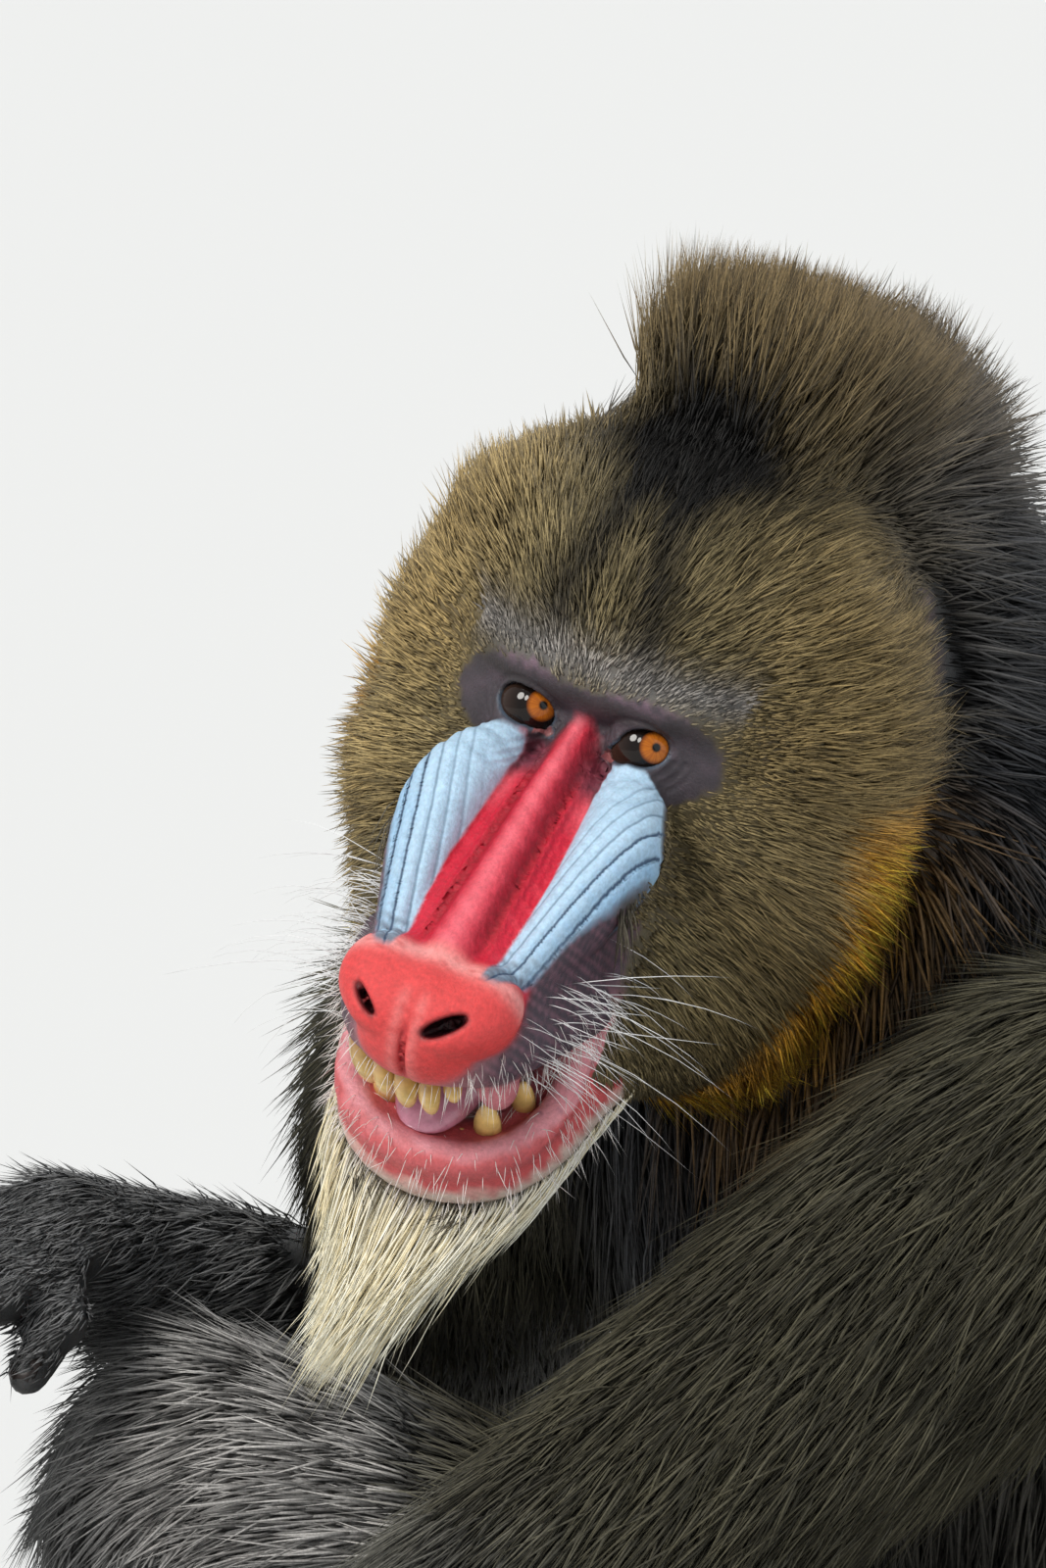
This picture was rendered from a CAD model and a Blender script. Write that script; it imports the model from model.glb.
"""Looks of the seated mandrill: one skin, eyes, teeth, nails and a coat of solid tufts.

The skin is melted from balls and tubes with the stations of the CAD solids, in numpy,
and the coat is thin closed spindles that grow from it and lie along the body.
"""

import math

import bmesh
import bpy
import numpy as np
from mathutils import Matrix, Vector


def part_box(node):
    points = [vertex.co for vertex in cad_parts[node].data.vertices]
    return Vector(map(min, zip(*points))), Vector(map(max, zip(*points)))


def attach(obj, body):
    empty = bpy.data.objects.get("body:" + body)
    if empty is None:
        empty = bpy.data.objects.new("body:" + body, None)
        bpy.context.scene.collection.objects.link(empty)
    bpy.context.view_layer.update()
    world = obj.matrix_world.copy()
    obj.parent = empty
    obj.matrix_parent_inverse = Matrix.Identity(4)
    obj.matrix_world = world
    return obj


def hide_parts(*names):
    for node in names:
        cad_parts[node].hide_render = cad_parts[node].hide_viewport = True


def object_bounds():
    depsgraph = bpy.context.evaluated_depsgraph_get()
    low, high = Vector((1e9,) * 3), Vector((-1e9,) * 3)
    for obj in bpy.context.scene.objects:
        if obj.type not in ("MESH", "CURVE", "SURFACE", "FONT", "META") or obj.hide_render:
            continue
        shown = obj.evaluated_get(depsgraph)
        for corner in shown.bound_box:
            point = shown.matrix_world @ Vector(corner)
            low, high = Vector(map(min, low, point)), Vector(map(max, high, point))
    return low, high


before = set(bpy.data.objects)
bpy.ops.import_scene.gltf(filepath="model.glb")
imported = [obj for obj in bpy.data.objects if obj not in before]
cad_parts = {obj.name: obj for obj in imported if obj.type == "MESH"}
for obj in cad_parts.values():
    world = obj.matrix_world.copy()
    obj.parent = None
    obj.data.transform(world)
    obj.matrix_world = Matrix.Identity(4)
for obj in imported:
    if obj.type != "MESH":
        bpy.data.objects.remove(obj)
CAD_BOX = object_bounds()

RIGHT, LEFT = -1, 1
SIDES = (RIGHT, LEFT)
SIDE_NAME = {RIGHT: "r", LEFT: "l"}


# Driving sizes, in metres

DESIGN_EYES = np.array((0.040, -0.240, 0.530))
HEAD_TURN, HEAD_NOD, HEAD_TILT = (math.radians(a) for a in (19.8, 6.1, 17.2))
EYE_SPACING = 0.043
EYE_RADIUS = 0.0115
MUZZLE_SLOPE = math.radians(38)
NASION = np.array((0, -0.012, 0.004))

SHOULDER = {RIGHT: (-0.135, -0.110, 0.375), LEFT: (0.135, -0.115, 0.370)}
ELBOW = {RIGHT: (-0.262, -0.012, 0.235), LEFT: (0.058, -0.298, 0.235)}
WRIST = {RIGHT: (-0.250, -0.215, 0.322), LEFT: (0.012, -0.400, 0.052)}
KNUCKLES = {RIGHT: (-0.238, -0.292, 0.312), LEFT: (0.000, -0.468, 0.017)}
HIP = {RIGHT: (-0.075, -0.015, 0.105), LEFT: (0.080, -0.020, 0.100)}
KNEE = {RIGHT: (-0.208, -0.192, 0.240), LEFT: (0.285, -0.130, 0.098)}
ANKLE = {RIGHT: (-0.180, -0.250, 0.058), LEFT: (0.175, -0.290, 0.050)}
HEEL_SPAN = 0.030
FOOT_LENGTH = 0.185
FOOT_HEADING = {RIGHT: math.radians(-6), LEFT: math.radians(-14)}

MUZZLE_YAW = math.radians(3.5)
FINE_STEP = 0.0029
COARSE_STEP = 0.0070
# Share of the densities below that is grown, and the tuft width that makes up for it
COAT_SHARE, TUFT_WIDTH = ((0.56, 1.25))
COAT_INSET = 0.0030
FLOOR_LEVEL = 0.0004
FAR = 0.06


def vec(*values):
    return np.array(values, float)


def unit(v):
    v = np.asarray(v, float)
    return v / np.maximum(np.linalg.norm(v, axis=-1, keepdims=True), 1e-12)


def box_middle(node):
    low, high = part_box(node)
    return np.array((low + high) / 2)


# The CAD centres the whole model over the origin, so its eyes say how far it was moved
EYES = (box_middle("eye_r") + box_middle("eye_l")) / 2
SHIFT = EYES - DESIGN_EYES

HEAD = np.array(
    Matrix.Rotation(HEAD_TURN, 3, "Z")
    @ Matrix.Rotation(HEAD_NOD, 3, "X")
    @ Matrix.Rotation(HEAD_TILT, 3, "Y")
)
YAW = np.array(Matrix.Rotation(MUZZLE_YAW, 3, "Z"))
ACROSS = YAW @ vec(1, 0, 0)
AHEAD = YAW @ vec(0, -math.cos(MUZZLE_SLOPE), -math.sin(MUZZLE_SLOPE))
UNDER = YAW @ vec(0, math.sin(MUZZLE_SLOPE), -math.cos(MUZZLE_SLOPE))
MUZZLE = HEAD @ YAW @ np.array(Matrix.Rotation(MUZZLE_SLOPE, 3, "X"))


def in_head(x, y, z):
    return EYES + HEAD @ vec(x, y, z)


def in_muzzle(x, ahead, under):
    return in_head(*(NASION + ACROSS * x + AHEAD * ahead + UNDER * under))


def head_coordinates(points):
    return (points - EYES) @ HEAD


def muzzle_coordinates(points):
    """Columns across, along the nose ridge, and below it."""
    local = head_coordinates(points) - NASION
    return np.stack([local @ ACROSS, local @ AHEAD, local @ UNDER], axis=1)


# Distance fields: balls and tubes that melt into one skin


def smooth_min(a, b, blend):
    h = np.clip(0.5 + 0.5 * (b - a) / blend, 0, 1)
    return b + (a - b) * h - blend * h * (1 - h)


def smooth_rows(rows, count):
    """Catmull-Rom points through the rows of numbers, evenly spread by row."""
    rows = np.array(rows, float)
    padded = np.vstack([2 * rows[0] - rows[1], rows, 2 * rows[-1] - rows[-2]])
    made = []
    for at in np.linspace(0, len(rows) - 1, count):
        i = min(int(at), len(rows) - 2)
        t = at - i
        a, b, c, d = padded[i : i + 4]
        bend = 2 * b + (c - a) * t + (2 * a - 5 * b + 4 * c - d) * t**2
        made.append(0.5 * (bend + (3 * b - a - 3 * c + d) * t**3))
    return np.array(made)


class Ball:
    """An ellipsoid whose own axes are the columns of turn."""

    def __init__(self, part, centre, radii, turn=None, blend=0.012, cut=False):
        self.part, self.blend, self.cut = part, blend, cut
        self.centre, self.radii = np.asarray(centre, float), np.asarray(radii, float)
        self.turn = turn
        reach = np.full(3, self.radii.max()) if turn is not None else self.radii
        self.boxes = [(self.centre - reach, self.centre + reach)]

    def distance_to(self, _, points):
        q = points - self.centre
        if self.turn is not None:
            q = q @ self.turn
        a = np.linalg.norm(q / self.radii, axis=1)
        b = np.linalg.norm(q / self.radii**2, axis=1)
        return a * (a - 1) / np.maximum(b, 1e-9)

    def trim(self, points, away):
        return away


class Tube:
    """A tube through stations of (x, y, z, half width, half depth), flat or round ended."""

    def __init__(self, part, stations, count, blend=0.012, side_axis=(1, 0, 0), flat=True, cut=False):
        self.part, self.blend, self.cut, self.flat = part, blend, cut, flat
        rows = smooth_rows(stations, count)
        self.rows = rows
        self.pieces, self.boxes = [], []
        for a, b in zip(rows, rows[1:]):
            along = b[:3] - a[:3]
            length = np.linalg.norm(along)
            ahead = along / length
            across = unit(np.asarray(side_axis, float) - ahead * (np.asarray(side_axis) @ ahead))
            self.pieces.append((a, b, along, length, ahead, across, np.cross(ahead, across)))
            reach = max(a[3:].max(), b[3:].max())
            self.boxes.append((np.minimum(a[:3], b[:3]) - reach, np.maximum(a[:3], b[:3]) + reach))

    def distance_to(self, piece, points):
        a, b, along, length, ahead, across, over = self.pieces[piece]
        q = points - a[:3]
        t = np.clip(q @ ahead / length, 0, 1)
        q = q - t[:, None] * along
        wide = a[3] + (b[3] - a[3]) * t
        deep = a[4] + (b[4] - a[4]) * t
        small = np.minimum(wide, deep)
        k = np.sqrt((q @ across / wide) ** 2 + (q @ over / deep) ** 2 + (q @ ahead / small) ** 2)
        return (k - 1) * small

    def trim(self, points, away):
        if not self.flat:
            return away
        first, last = self.rows[0], self.rows[-1]
        start, end = self.pieces[0][4], self.pieces[-1][4]
        away = np.maximum(away, -(points - first[:3]) @ start)
        return np.maximum(away, (points - last[:3]) @ end)


def melted(blob, old, away):
    """The field after a blob is added to it, or cut out of it."""
    if blob.cut:
        return -smooth_min(-old, away, blob.blend)
    return smooth_min(old, away, blob.blend)


BLOBS = []


def add(blob):
    BLOBS.append(blob)
    return blob


def head_ball(part, x, y, z, radii, **more):
    return add(Ball(part, in_head(x, y, z), radii, HEAD, **more))


def muzzle_ball(part, x, ahead, under, radii, turn=MUZZLE, **more):
    return add(Ball(part, in_muzzle(x, ahead, under), radii, turn, **more))


def muzzle_tube(part, rows, count, **more):
    """A round tube through rows of (x, ahead, under, radius)."""
    stations = [(*in_muzzle(*row[:3]), row[3], row[3]) for row in rows]
    return add(Tube(part, stations, count, flat=False, **more))


def head_tube(part, rows, count, **more):
    stations = [(*in_head(*row[:3]), row[3], row[3]) for row in rows]
    return add(Tube(part, stations, count, flat=False, **more))


def body_tube(part, rows, count, **more):
    """A tube through rows in the CAD's design coordinates, before it was centred."""
    stations = [(*(vec(*row[:3]) + SHIFT), *row[3:]) for row in rows]
    return add(Tube(part, stations, count, **more))


def mirrored(rows):
    """Rows given for the left side from the middle outwards, run right across."""
    return [(-row[0], *row[1:]) for row in reversed(rows[1:])] + list(rows)


def model_trunk():
    body_tube("trunk", (
        (0, 0.014, 0.004, 0.080, 0.074), (0, 0.018, 0.030, 0.116, 0.102),
        (0, 0.022, 0.100, 0.132, 0.118), (0, 0.020, 0.200, 0.127, 0.120),
        (0, 0.018, 0.250, 0.130, 0.124), (0, 0.000, 0.330, 0.134, 0.128),
        (0, -0.025, 0.410, 0.126, 0.124), (0, -0.050, 0.470, 0.102, 0.106),
        (0, -0.072, 0.505, 0.074, 0.078),
    ), 17)
    body_tube("neck", (
        (0.000, -0.060, 0.490, 0.066, 0.070), (0.000, -0.080, 0.520, 0.084, 0.088),
        (0.002, -0.105, 0.540, 0.086, 0.088), (0.008, -0.140, 0.552, 0.080, 0.080),
        (0.016, -0.165, 0.556, 0.060, 0.060),
    ), 9, blend=0.030)
    body_tube("tail", (
        (0, 0.110, 0.090, 0.018, 0.018), (0, 0.150, 0.112, 0.017, 0.017),
        (0, 0.176, 0.142, 0.015, 0.015), (0, 0.184, 0.172, 0.006, 0.006),
    ), 8, blend=0.020)
    for side in SIDES:
        body_tube("pad", (
            (side * 0.036, 0.052, -0.010, 0.025, 0.030), (side * 0.036, 0.052, 0.006, 0.025, 0.030),
            (side * 0.036, 0.052, 0.016, 0.018, 0.022),
        ), 3, blend=0.006)


def limb(part, start, end, radii, blend=0.016):
    """A tapering limb from start to end with radii at even steps, as the CAD has it."""
    start, end = vec(*start), vec(*end)
    rows = []
    for i, radius in enumerate(radii):
        t = i / (len(radii) - 1)
        wide, deep = radius if isinstance(radius, tuple) else (radius, radius)
        rows.append((*(start + (end - start) * t), wide, deep))
    ahead = unit(end - start)
    before = vec(*rows[0][:3]) - ahead * 0.75 * rows[0][3]
    after = vec(*rows[-1][:3]) + ahead * 0.75 * rows[-1][3]
    rows.insert(0, (*before, 0.45 * rows[0][3], 0.45 * rows[0][4]))
    rows.append((*after, 0.45 * rows[-1][3], 0.45 * rows[-1][4]))
    body_tube(part, rows, 13, blend=blend)


def model_limbs():
    for side in SIDES:
        name = SIDE_NAME[side]
        shoulder, elbow = vec(*SHOULDER[side]), vec(*ELBOW[side])
        start = shoulder + (elbow - shoulder) * -0.08
        limb("upper_arm_" + name, start, elbow, (0.060, 0.060, 0.052, 0.045, 0.040), 0.026)
        limb("forearm_" + name, elbow, WRIST[side], (0.035, 0.040, 0.038, 0.030, (0.025, 0.020)))
        limb("thigh_" + name, HIP[side], KNEE[side], (0.078, 0.078, 0.070, 0.060, 0.048), 0.022)
        limb("shin_" + name, KNEE[side], ANKLE[side], (0.041, 0.042, 0.038, 0.028, 0.024))


DIGIT_RADIUS = 0.0098
NAILS = []


def digit(part, points, radius):
    """A finger or toe through its joints, with swollen knuckles and a round tip."""
    rows = []
    last = len(points) - 1
    for i, point in enumerate(points):
        share = 1.0 - 0.22 * i / last
        rows.append((*point, radius * share, radius * share * 0.92))
    tip = vec(*points[-1])
    ahead = unit(tip - vec(*points[-2]))
    rows.append((*(tip + ahead * radius * 0.5), radius * 0.62, radius * 0.56))
    body_tube(part, rows, 9, blend=0.004, flat=False)
    for i, point in enumerate(points[1:-1]):
        swell = radius * (1.06 - 0.12 * i)
        add(Ball(part, vec(*point) + SHIFT, (swell, swell, swell * 0.95), blend=0.004))
    NAILS.append((tip + SHIFT, ahead, radius * 0.80))


def model_hands():
    wrist, knuckles = vec(*WRIST[LEFT]), vec(*KNUCKLES[LEFT])
    body_tube("hand_l", (
        (*(wrist + vec(0.004, 0.012, 0.012)), 0.016, 0.015), (*wrist, 0.025, 0.020),
        (*(wrist + (knuckles - wrist) * 0.45), 0.034, 0.019),
        (*(wrist + (knuckles - wrist) * 0.95), 0.037, 0.0195),
        (*(wrist + (knuckles - wrist) * 1.15), 0.028, 0.0130),
    ), 9, blend=0.010)
    for offset, reach, splay in ((-0.026, 0.052, -0.34), (-0.009, 0.062, -0.14),
                                 (0.009, 0.060, 0.03), (0.026, 0.048, 0.22)):
        base = knuckles + vec(offset, 0.010, -0.003)
        way = vec(math.sin(splay), -math.cos(splay), 0)
        points = [base]
        for share, height in ((0.42, 0.018), (0.74, 0.011), (1.0, 0.0062)):
            point = base + way * (reach * share + 0.006)
            point[2] = height
            points.append(point)
        digit("hand_l", points, DIGIT_RADIUS)
    root = wrist + (knuckles - wrist) * 0.42 + vec(-0.026, 0, -0.006)
    mid = root + vec(-0.020, -0.014, -0.006)
    digit("hand_l", [root, mid, vec(mid[0] - 0.014, mid[1] - 0.018, 0.0085)], DIGIT_RADIUS)

    wrist, knuckles = vec(*WRIST[RIGHT]), vec(*KNUCKLES[RIGHT])
    body_tube("hand_r", (
        (*(wrist + vec(-0.002, 0.014, -0.007)), 0.016, 0.014), (*wrist, 0.025, 0.019),
        (*(wrist + (knuckles - wrist) * 0.5), 0.033, 0.017),
        (*(wrist + (knuckles - wrist) * 0.95), 0.036, 0.015),
        (*(wrist + (knuckles - wrist) * 1.14), 0.028, 0.009),
    ), 9, blend=0.010)
    for offset, reach, splay in ((0.026, 0.056, 0.18), (0.009, 0.064, 0.05),
                                 (-0.009, 0.062, -0.06), (-0.026, 0.050, -0.20)):
        base = knuckles + vec(offset, 0.010, 0)
        points = [base]
        for share, dip in ((0.38, 0.22), (0.74, 0.72), (1.0, 1.22)):
            forward = math.cos(dip) * reach * share
            points.append(base + vec(math.sin(splay) * reach * share, -forward - 0.010,
                                     -math.sin(dip) * reach * share))
        digit("hand_r", points, DIGIT_RADIUS)
    root = wrist + (knuckles - wrist) * 0.40 + vec(0.024, 0, -0.006)
    digit("hand_r", [root, root + vec(0.018, -0.016, -0.010), root + vec(0.024, -0.034, -0.024)],
          DIGIT_RADIUS)


def model_feet():
    for side in SIDES:
        part = "foot_" + SIDE_NAME[side]
        ankle = vec(*ANKLE[side])
        heading = vec(math.sin(FOOT_HEADING[side]), -math.cos(FOOT_HEADING[side]), 0)
        across = vec(-heading[1], heading[0], 0)
        heel = vec(ankle[0], ankle[1], 0) - heading * HEEL_SPAN
        toe_root = FOOT_LENGTH - 0.058
        rows = []
        for reach, height, wide, deep in (
            (-0.004, 0.022, 0.016, 0.014), (0.006, 0.026, 0.026, 0.028),
            (0.034, 0.034, 0.029, 0.037), (0.070, 0.024, 0.031, 0.027),
            (toe_root, 0.015, 0.036, 0.018), (toe_root + 0.014, 0.011, 0.028, 0.011),
        ):
            point = heel + heading * reach
            rows.append((point[0], point[1], height, wide, deep))
        body_tube(part, rows, 12, blend=0.012, side_axis=across)
        instep = heel + heading * 0.034 + vec(0, 0, 0.03)
        knee = vec(*KNEE[side])
        limb(part, ankle + (knee - ankle) * 0.10, instep, (0.024, 0.025, 0.026), 0.016)
        for offset, reach in ((-0.026, 0.044), (-0.009, 0.050), (0.009, 0.050), (0.026, 0.042)):
            base = heel + heading * (toe_root - 0.004) + across * offset + vec(0, 0, 0.012)
            points = [base]
            for share, height in ((0.40, 0.0150), (0.74, 0.0105), (1.0, 0.0065)):
                point = base + heading * (reach * share + 0.006) + across * (offset * 0.35 * share)
                point[2] = height
                points.append(point)
            digit(part, points, 0.0092)
        inward = across * -side
        root = heel + heading * 0.062 + inward * 0.022 + vec(0, 0, 0.014)
        mid = root + inward * 0.018 + heading * 0.020
        end = root + inward * 0.026 + heading * 0.046
        mid[2], end[2] = 0.012, 0.0075
        digit(part, [root, mid, end], 0.0112)


def model_head():
    """Braincase, cheeks and throat, inside the CAD's head by the depth of the short coat."""
    inset = COAT_INSET
    for y, z, radii in ((0.072, 0.036, (0.066, 0.086, 0.062)), (0.060, -0.045, (0.058, 0.070, 0.058)),
                        (0.022, 0.026, (0.050, 0.026, 0.024))):
        head_ball("head", 0, y, z, np.array(radii) - inset, blend=0.018)
    for side in SIDES:
        for x, y, z, radii in ((0.048, 0.026, -0.030, (0.026, 0.026, 0.034)),
                               (0.042, 0.024, -0.078, (0.026, 0.042, 0.044)),
                               (0.034, -0.006, -0.096, (0.018, 0.034, 0.030))):
            head_ball("head", side * x, y, z, np.array(radii) - inset, blend=0.018)
        part = "ruff_" + SIDE_NAME[side]
        for x, y, z, radii in ((0.050, 0.054, 0.042, (0.030, 0.038, 0.034)),
                               (0.063, 0.051, 0.002, (0.030, 0.040, 0.037)),
                               (0.063, 0.048, -0.044, (0.030, 0.040, 0.037)),
                               (0.050, 0.044, -0.084, (0.029, 0.038, 0.031))):
            head_ball(part, side * x, y, z, radii, blend=0.020)
    for y, z, radii in ((0.079, 0.096, (0.038, 0.030, 0.034)), (0.116, 0.090, (0.046, 0.044, 0.036)),
                        (0.158, 0.072, (0.052, 0.046, 0.036))):
        head_ball("crest", 0, y, z, np.array(radii) - 0.004, blend=0.020)
    for side in SIDES:
        lean = HEAD @ np.array(Matrix.Rotation(side * math.radians(28), 3, "Z"))
        centre = in_head(side * 0.073, 0.084, 0.034)
        add(Ball("ear", centre, (0.010, 0.019, 0.026), lean, blend=0.004))
        cup = centre + lean @ vec(side * 0.009, -0.003, 0.001)
        add(Ball("ear", cup, (0.0090, 0.0145, 0.0215), lean, blend=0.004, cut=True))


SWELLING = ((0.0215, 0.0050, 0.0180, 0.0050, 0.0060), (0.0250, 0.0120, 0.0150, 0.0115, 0.0115),
            (0.0300, 0.0280, 0.0140, 0.0148, 0.0160), (0.0310, 0.0420, 0.0145, 0.0150, 0.0170),
            (0.0286, 0.0620, 0.0145, 0.0126, 0.0155), (0.0252, 0.0800, 0.0145, 0.0098, 0.0125),
            (0.0225, 0.0960, 0.0150, 0.0072, 0.0090), (0.0212, 0.1060, 0.0160, 0.0040, 0.0050))
LIP_LINE = ((0, 0.1335, 0.0745, 0.0062), (0.018, 0.1300, 0.0740, 0.0062), (0.0305, 0.1195, 0.0735, 0.0060),
            (0.0370, 0.1030, 0.0715, 0.0056), (0.0375, 0.0880, 0.0660, 0.0052),
            (0.0360, 0.0740, 0.0560, 0.0046))


def model_mouth():
    for ahead, under, radii in ((0.030, 0.038, (0.038, 0.042, 0.030)),
                                (0.062, 0.034, (0.039, 0.042, 0.028)),
                                (0.092, 0.026, (0.034, 0.036, 0.022))):
        muzzle_ball("muzzle", 0, ahead, under, radii, blend=0.012)
    muzzle_tube("upper_lip", mirrored(((0, 0.1265, 0.0245, 0.0080), (0.019, 0.1205, 0.0280, 0.0088),
                                       (0.031, 0.1000, 0.0350, 0.0090),
                                       (0.037, 0.0760, 0.0460, 0.0090))), 19, blend=0.008)
    muzzle_tube("jaw", mirrored(((0, 0.1270, 0.0870, 0.0135), (0.019, 0.1210, 0.0865, 0.0135),
                                 (0.0310, 0.1020, 0.0875, 0.0125),
                                 (0.0340, 0.0640, 0.0880, 0.0140))), 19, blend=0.010)
    muzzle_ball("jaw", 0, 0.078, 0.097, (0.032, 0.044, 0.0115), blend=0.012)
    muzzle_ball("mouth", 0, 0.080, 0.0560, (0.0315, 0.0640, 0.0180), blend=0.005, cut=True)
    muzzle_tube("lower_lip", mirrored(LIP_LINE), 25, blend=0.005)
    muzzle_tube("gum", mirrored(((0, 0.1230, 0.0300, 0.0060), (0.013, 0.1195, 0.0305, 0.0060),
                                 (0.0220, 0.1120, 0.0340, 0.0072), (0.027, 0.090, 0.0410, 0.0062),
                                 (0.028, 0.068, 0.0450, 0.0060))), 19, blend=0.004)
    for side in SIDES:
        muzzle_ball("gum", side * 0.0232, 0.1150, 0.0440, (0.0072, 0.0080, 0.0135), blend=0.004)
    muzzle_tube("gum", mirrored(((0, 0.1190, 0.0830, 0.0060), (0.013, 0.1165, 0.0830, 0.0060),
                                 (0.0225, 0.1060, 0.0820, 0.0060), (0.0265, 0.085, 0.0800, 0.0060),
                                 (0.027, 0.062, 0.0780, 0.0060))), 19, blend=0.004)


# Place beside the middle, half width and half height; the right one is pressed nearly shut
NOSTRIL = {RIGHT: (0.0165, 0.0058, 0.0014), LEFT: (0.0126, 0.0082, 0.0024)}


def model_nose():
    """A low base with a crest along its middle, and the broad pad with its nostrils."""
    muzzle_tube("nose", ((0, -0.004, 0.0120, 0.0080), (0, 0.020, 0.0130, 0.0105),
                         (0, 0.060, 0.0145, 0.0135), (0, 0.100, 0.0150, 0.0145)), 17, blend=0.006)
    muzzle_tube("nose", ((0, -0.004, 0.0075, 0.0042), (0, 0.020, 0.0056, 0.0047),
                         (0.0008, 0.060, 0.0046, 0.0056), (0, 0.100, 0.0052, 0.0078)), 17, blend=0.004)
    muzzle_ball("nose", 0, 0.1170, 0.0110, (0.0200, 0.0150, 0.0160), blend=0.006)
    muzzle_ball("nose", 0, 0.1265, 0.0175, (0.0195, 0.0115, 0.0152), blend=0.006)
    for side in SIDES:
        muzzle_ball("nose", side * 0.0175, 0.1130, 0.0090, (0.0145, 0.0165, 0.0130), blend=0.005)
        muzzle_ball("nose", side * 0.0125, 0.1240, 0.0060, (0.0115, 0.0105, 0.0080), blend=0.005)
        rows = [(*in_muzzle(side * x, ahead, under), wide, deep)
                for x, ahead, under, wide, deep in SWELLING]
        add(Tube("swelling", rows, 15, blend=0.0030, side_axis=MUZZLE[:, 0]))
        inward = Matrix.Rotation(math.radians(-45), 3, "X")
        lean = MUZZLE @ np.array(inward @ Matrix.Rotation(-side * math.radians(38), 3, "Y"))
        x, wide, high = NOSTRIL[side]
        muzzle_ball("nostril", side * x, 0.1295, 0.0000, (wide, 0.0100, high),
                    turn=lean, blend=0.003, cut=True)
    muzzle_ball("crease", 0, 0.1390, 0.0120, (0.0009, 0.0072, 0.0150), blend=0.003, cut=True)


# Place beside and above the eye, half width, half height and slant of the cuts that open the lids
EYE_OPENING = {
    LEFT: ((0.0037, 0.0037, 0.0094, 0.0063, 10), (-0.0035, -0.0003, 0.0058, 0.0036, 28),
           (-0.0088, -0.0040, 0.0030, 0.0012, 34)),
    RIGHT: ((-0.0008, 0.0034, 0.0110, 0.0062, 8), (-0.0072, 0.0010, 0.0048, 0.0046, 20),
            (-0.0108, -0.0036, 0.0026, 0.0012, 34)),
}


def model_eyes():
    """Brow ridge, sockets and lids, with an almond opening."""
    head_tube("mask", mirrored(((0, -0.0040, 0.0150, 0.0082), (0.022, -0.0040, 0.0165, 0.0082),
                                (0.038, 0.0040, 0.0145, 0.0082), (0.049, 0.0150, 0.0090, 0.0080))),
              15, blend=0.008)
    for side in SIDES:
        head_ball("mask", side * 0.032, 0.010, -0.004, (0.021, 0.014, 0.020), blend=0.008)
        head_ball("lid", side * EYE_SPACING / 2, 0.0002, 0, (0.0133, 0.0136, 0.0130), blend=0.005)
        for x, z, wide, high, slant in EYE_OPENING[side]:
            turn = HEAD @ np.array(Matrix.Rotation(math.radians(-side * slant), 3, "Y"))
            centre = in_head(side * (EYE_SPACING / 2 + x), -0.0108, z)
            add(Ball("fissure", centre, (wide, 0.0085, high), turn, blend=0.0012, cut=True))


model_trunk()
model_limbs()
model_hands()
model_feet()
model_head()
model_mouth()
model_nose()
model_eyes()


# Folds of the face

RIB_PITCH = 0.0052
RIB_SLANT = 0.32
# Distances from the middle of the face to both edges of the blue skin, by place along the muzzle
BLUE_EDGES = ((0.004, 0.0165, 0.026), (0.011, 0.0150, 0.038), (0.036, 0.0168, 0.0480),
              (0.060, 0.0182, 0.0410), (0.080, 0.0178, 0.0330), (0.100, 0.0163, 0.0275),
              (0.108, 0.0165, 0.0225))


def band(value, low, high, soft):
    """1 between low and high, falling to 0 over soft on either side."""
    return np.clip((value - low) / soft + 1, 0, 1) * np.clip((high - value) / soft + 1, 0, 1)


def smooth_step(value):
    value = np.clip(value, 0, 1)
    return value * value * (3 - 2 * value)


def ripple(points, wavelength, seed):
    """Smooth noise from -1 to 1 made of a few crossing waves."""
    rng = np.random.default_rng(seed)
    total = np.zeros(len(points))
    for _ in range(6):
        way = unit(rng.normal(size=3)) * (2 * math.pi / wavelength) * rng.uniform(0.6, 1.5)
        total += np.sin(points @ way + rng.uniform(0, 6.28))
    return total / 3.2


def rib_phase(muzzle):
    """Counts the slanting ribs of the blue skin, whole numbers lying in the grooves."""
    x, ahead, under = np.abs(muzzle[:, 0]), muzzle[:, 1], muzzle[:, 2]
    bow = 0.0016 * np.sin(ahead * 45)
    return (x + RIB_SLANT * ahead + 0.5 * np.maximum(0, under - 0.016) + bow) / RIB_PITCH


def blue_share(muzzle):
    """1 on the blue skin of the swellings."""
    edges = np.array(BLUE_EDGES)
    x, ahead = np.abs(muzzle[:, 0]), muzzle[:, 1]
    above = np.clip((0.0215 - muzzle[:, 2]) / 0.002, 0, 1)
    inner = np.interp(ahead, edges[:, 0], edges[:, 1])
    outer = np.interp(ahead, edges[:, 0], edges[:, 2])
    along = np.clip((ahead - 0.003) / 0.004, 0, 1) * np.clip((0.110 - ahead) / 0.004, 0, 1)
    across = np.clip((x - inner) / 0.0009 + 0.5, 0, 1) * np.clip((outer - x) / 0.002 + 0.5, 0, 1)
    return across * along * above


def rib_strength(muzzle):
    phase = rib_phase(muzzle)
    return blue_share(muzzle) * np.interp(phase, (5.5, 7, 9, 10, 14), (0, 0.35, 0.55, 1, 1))


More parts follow.
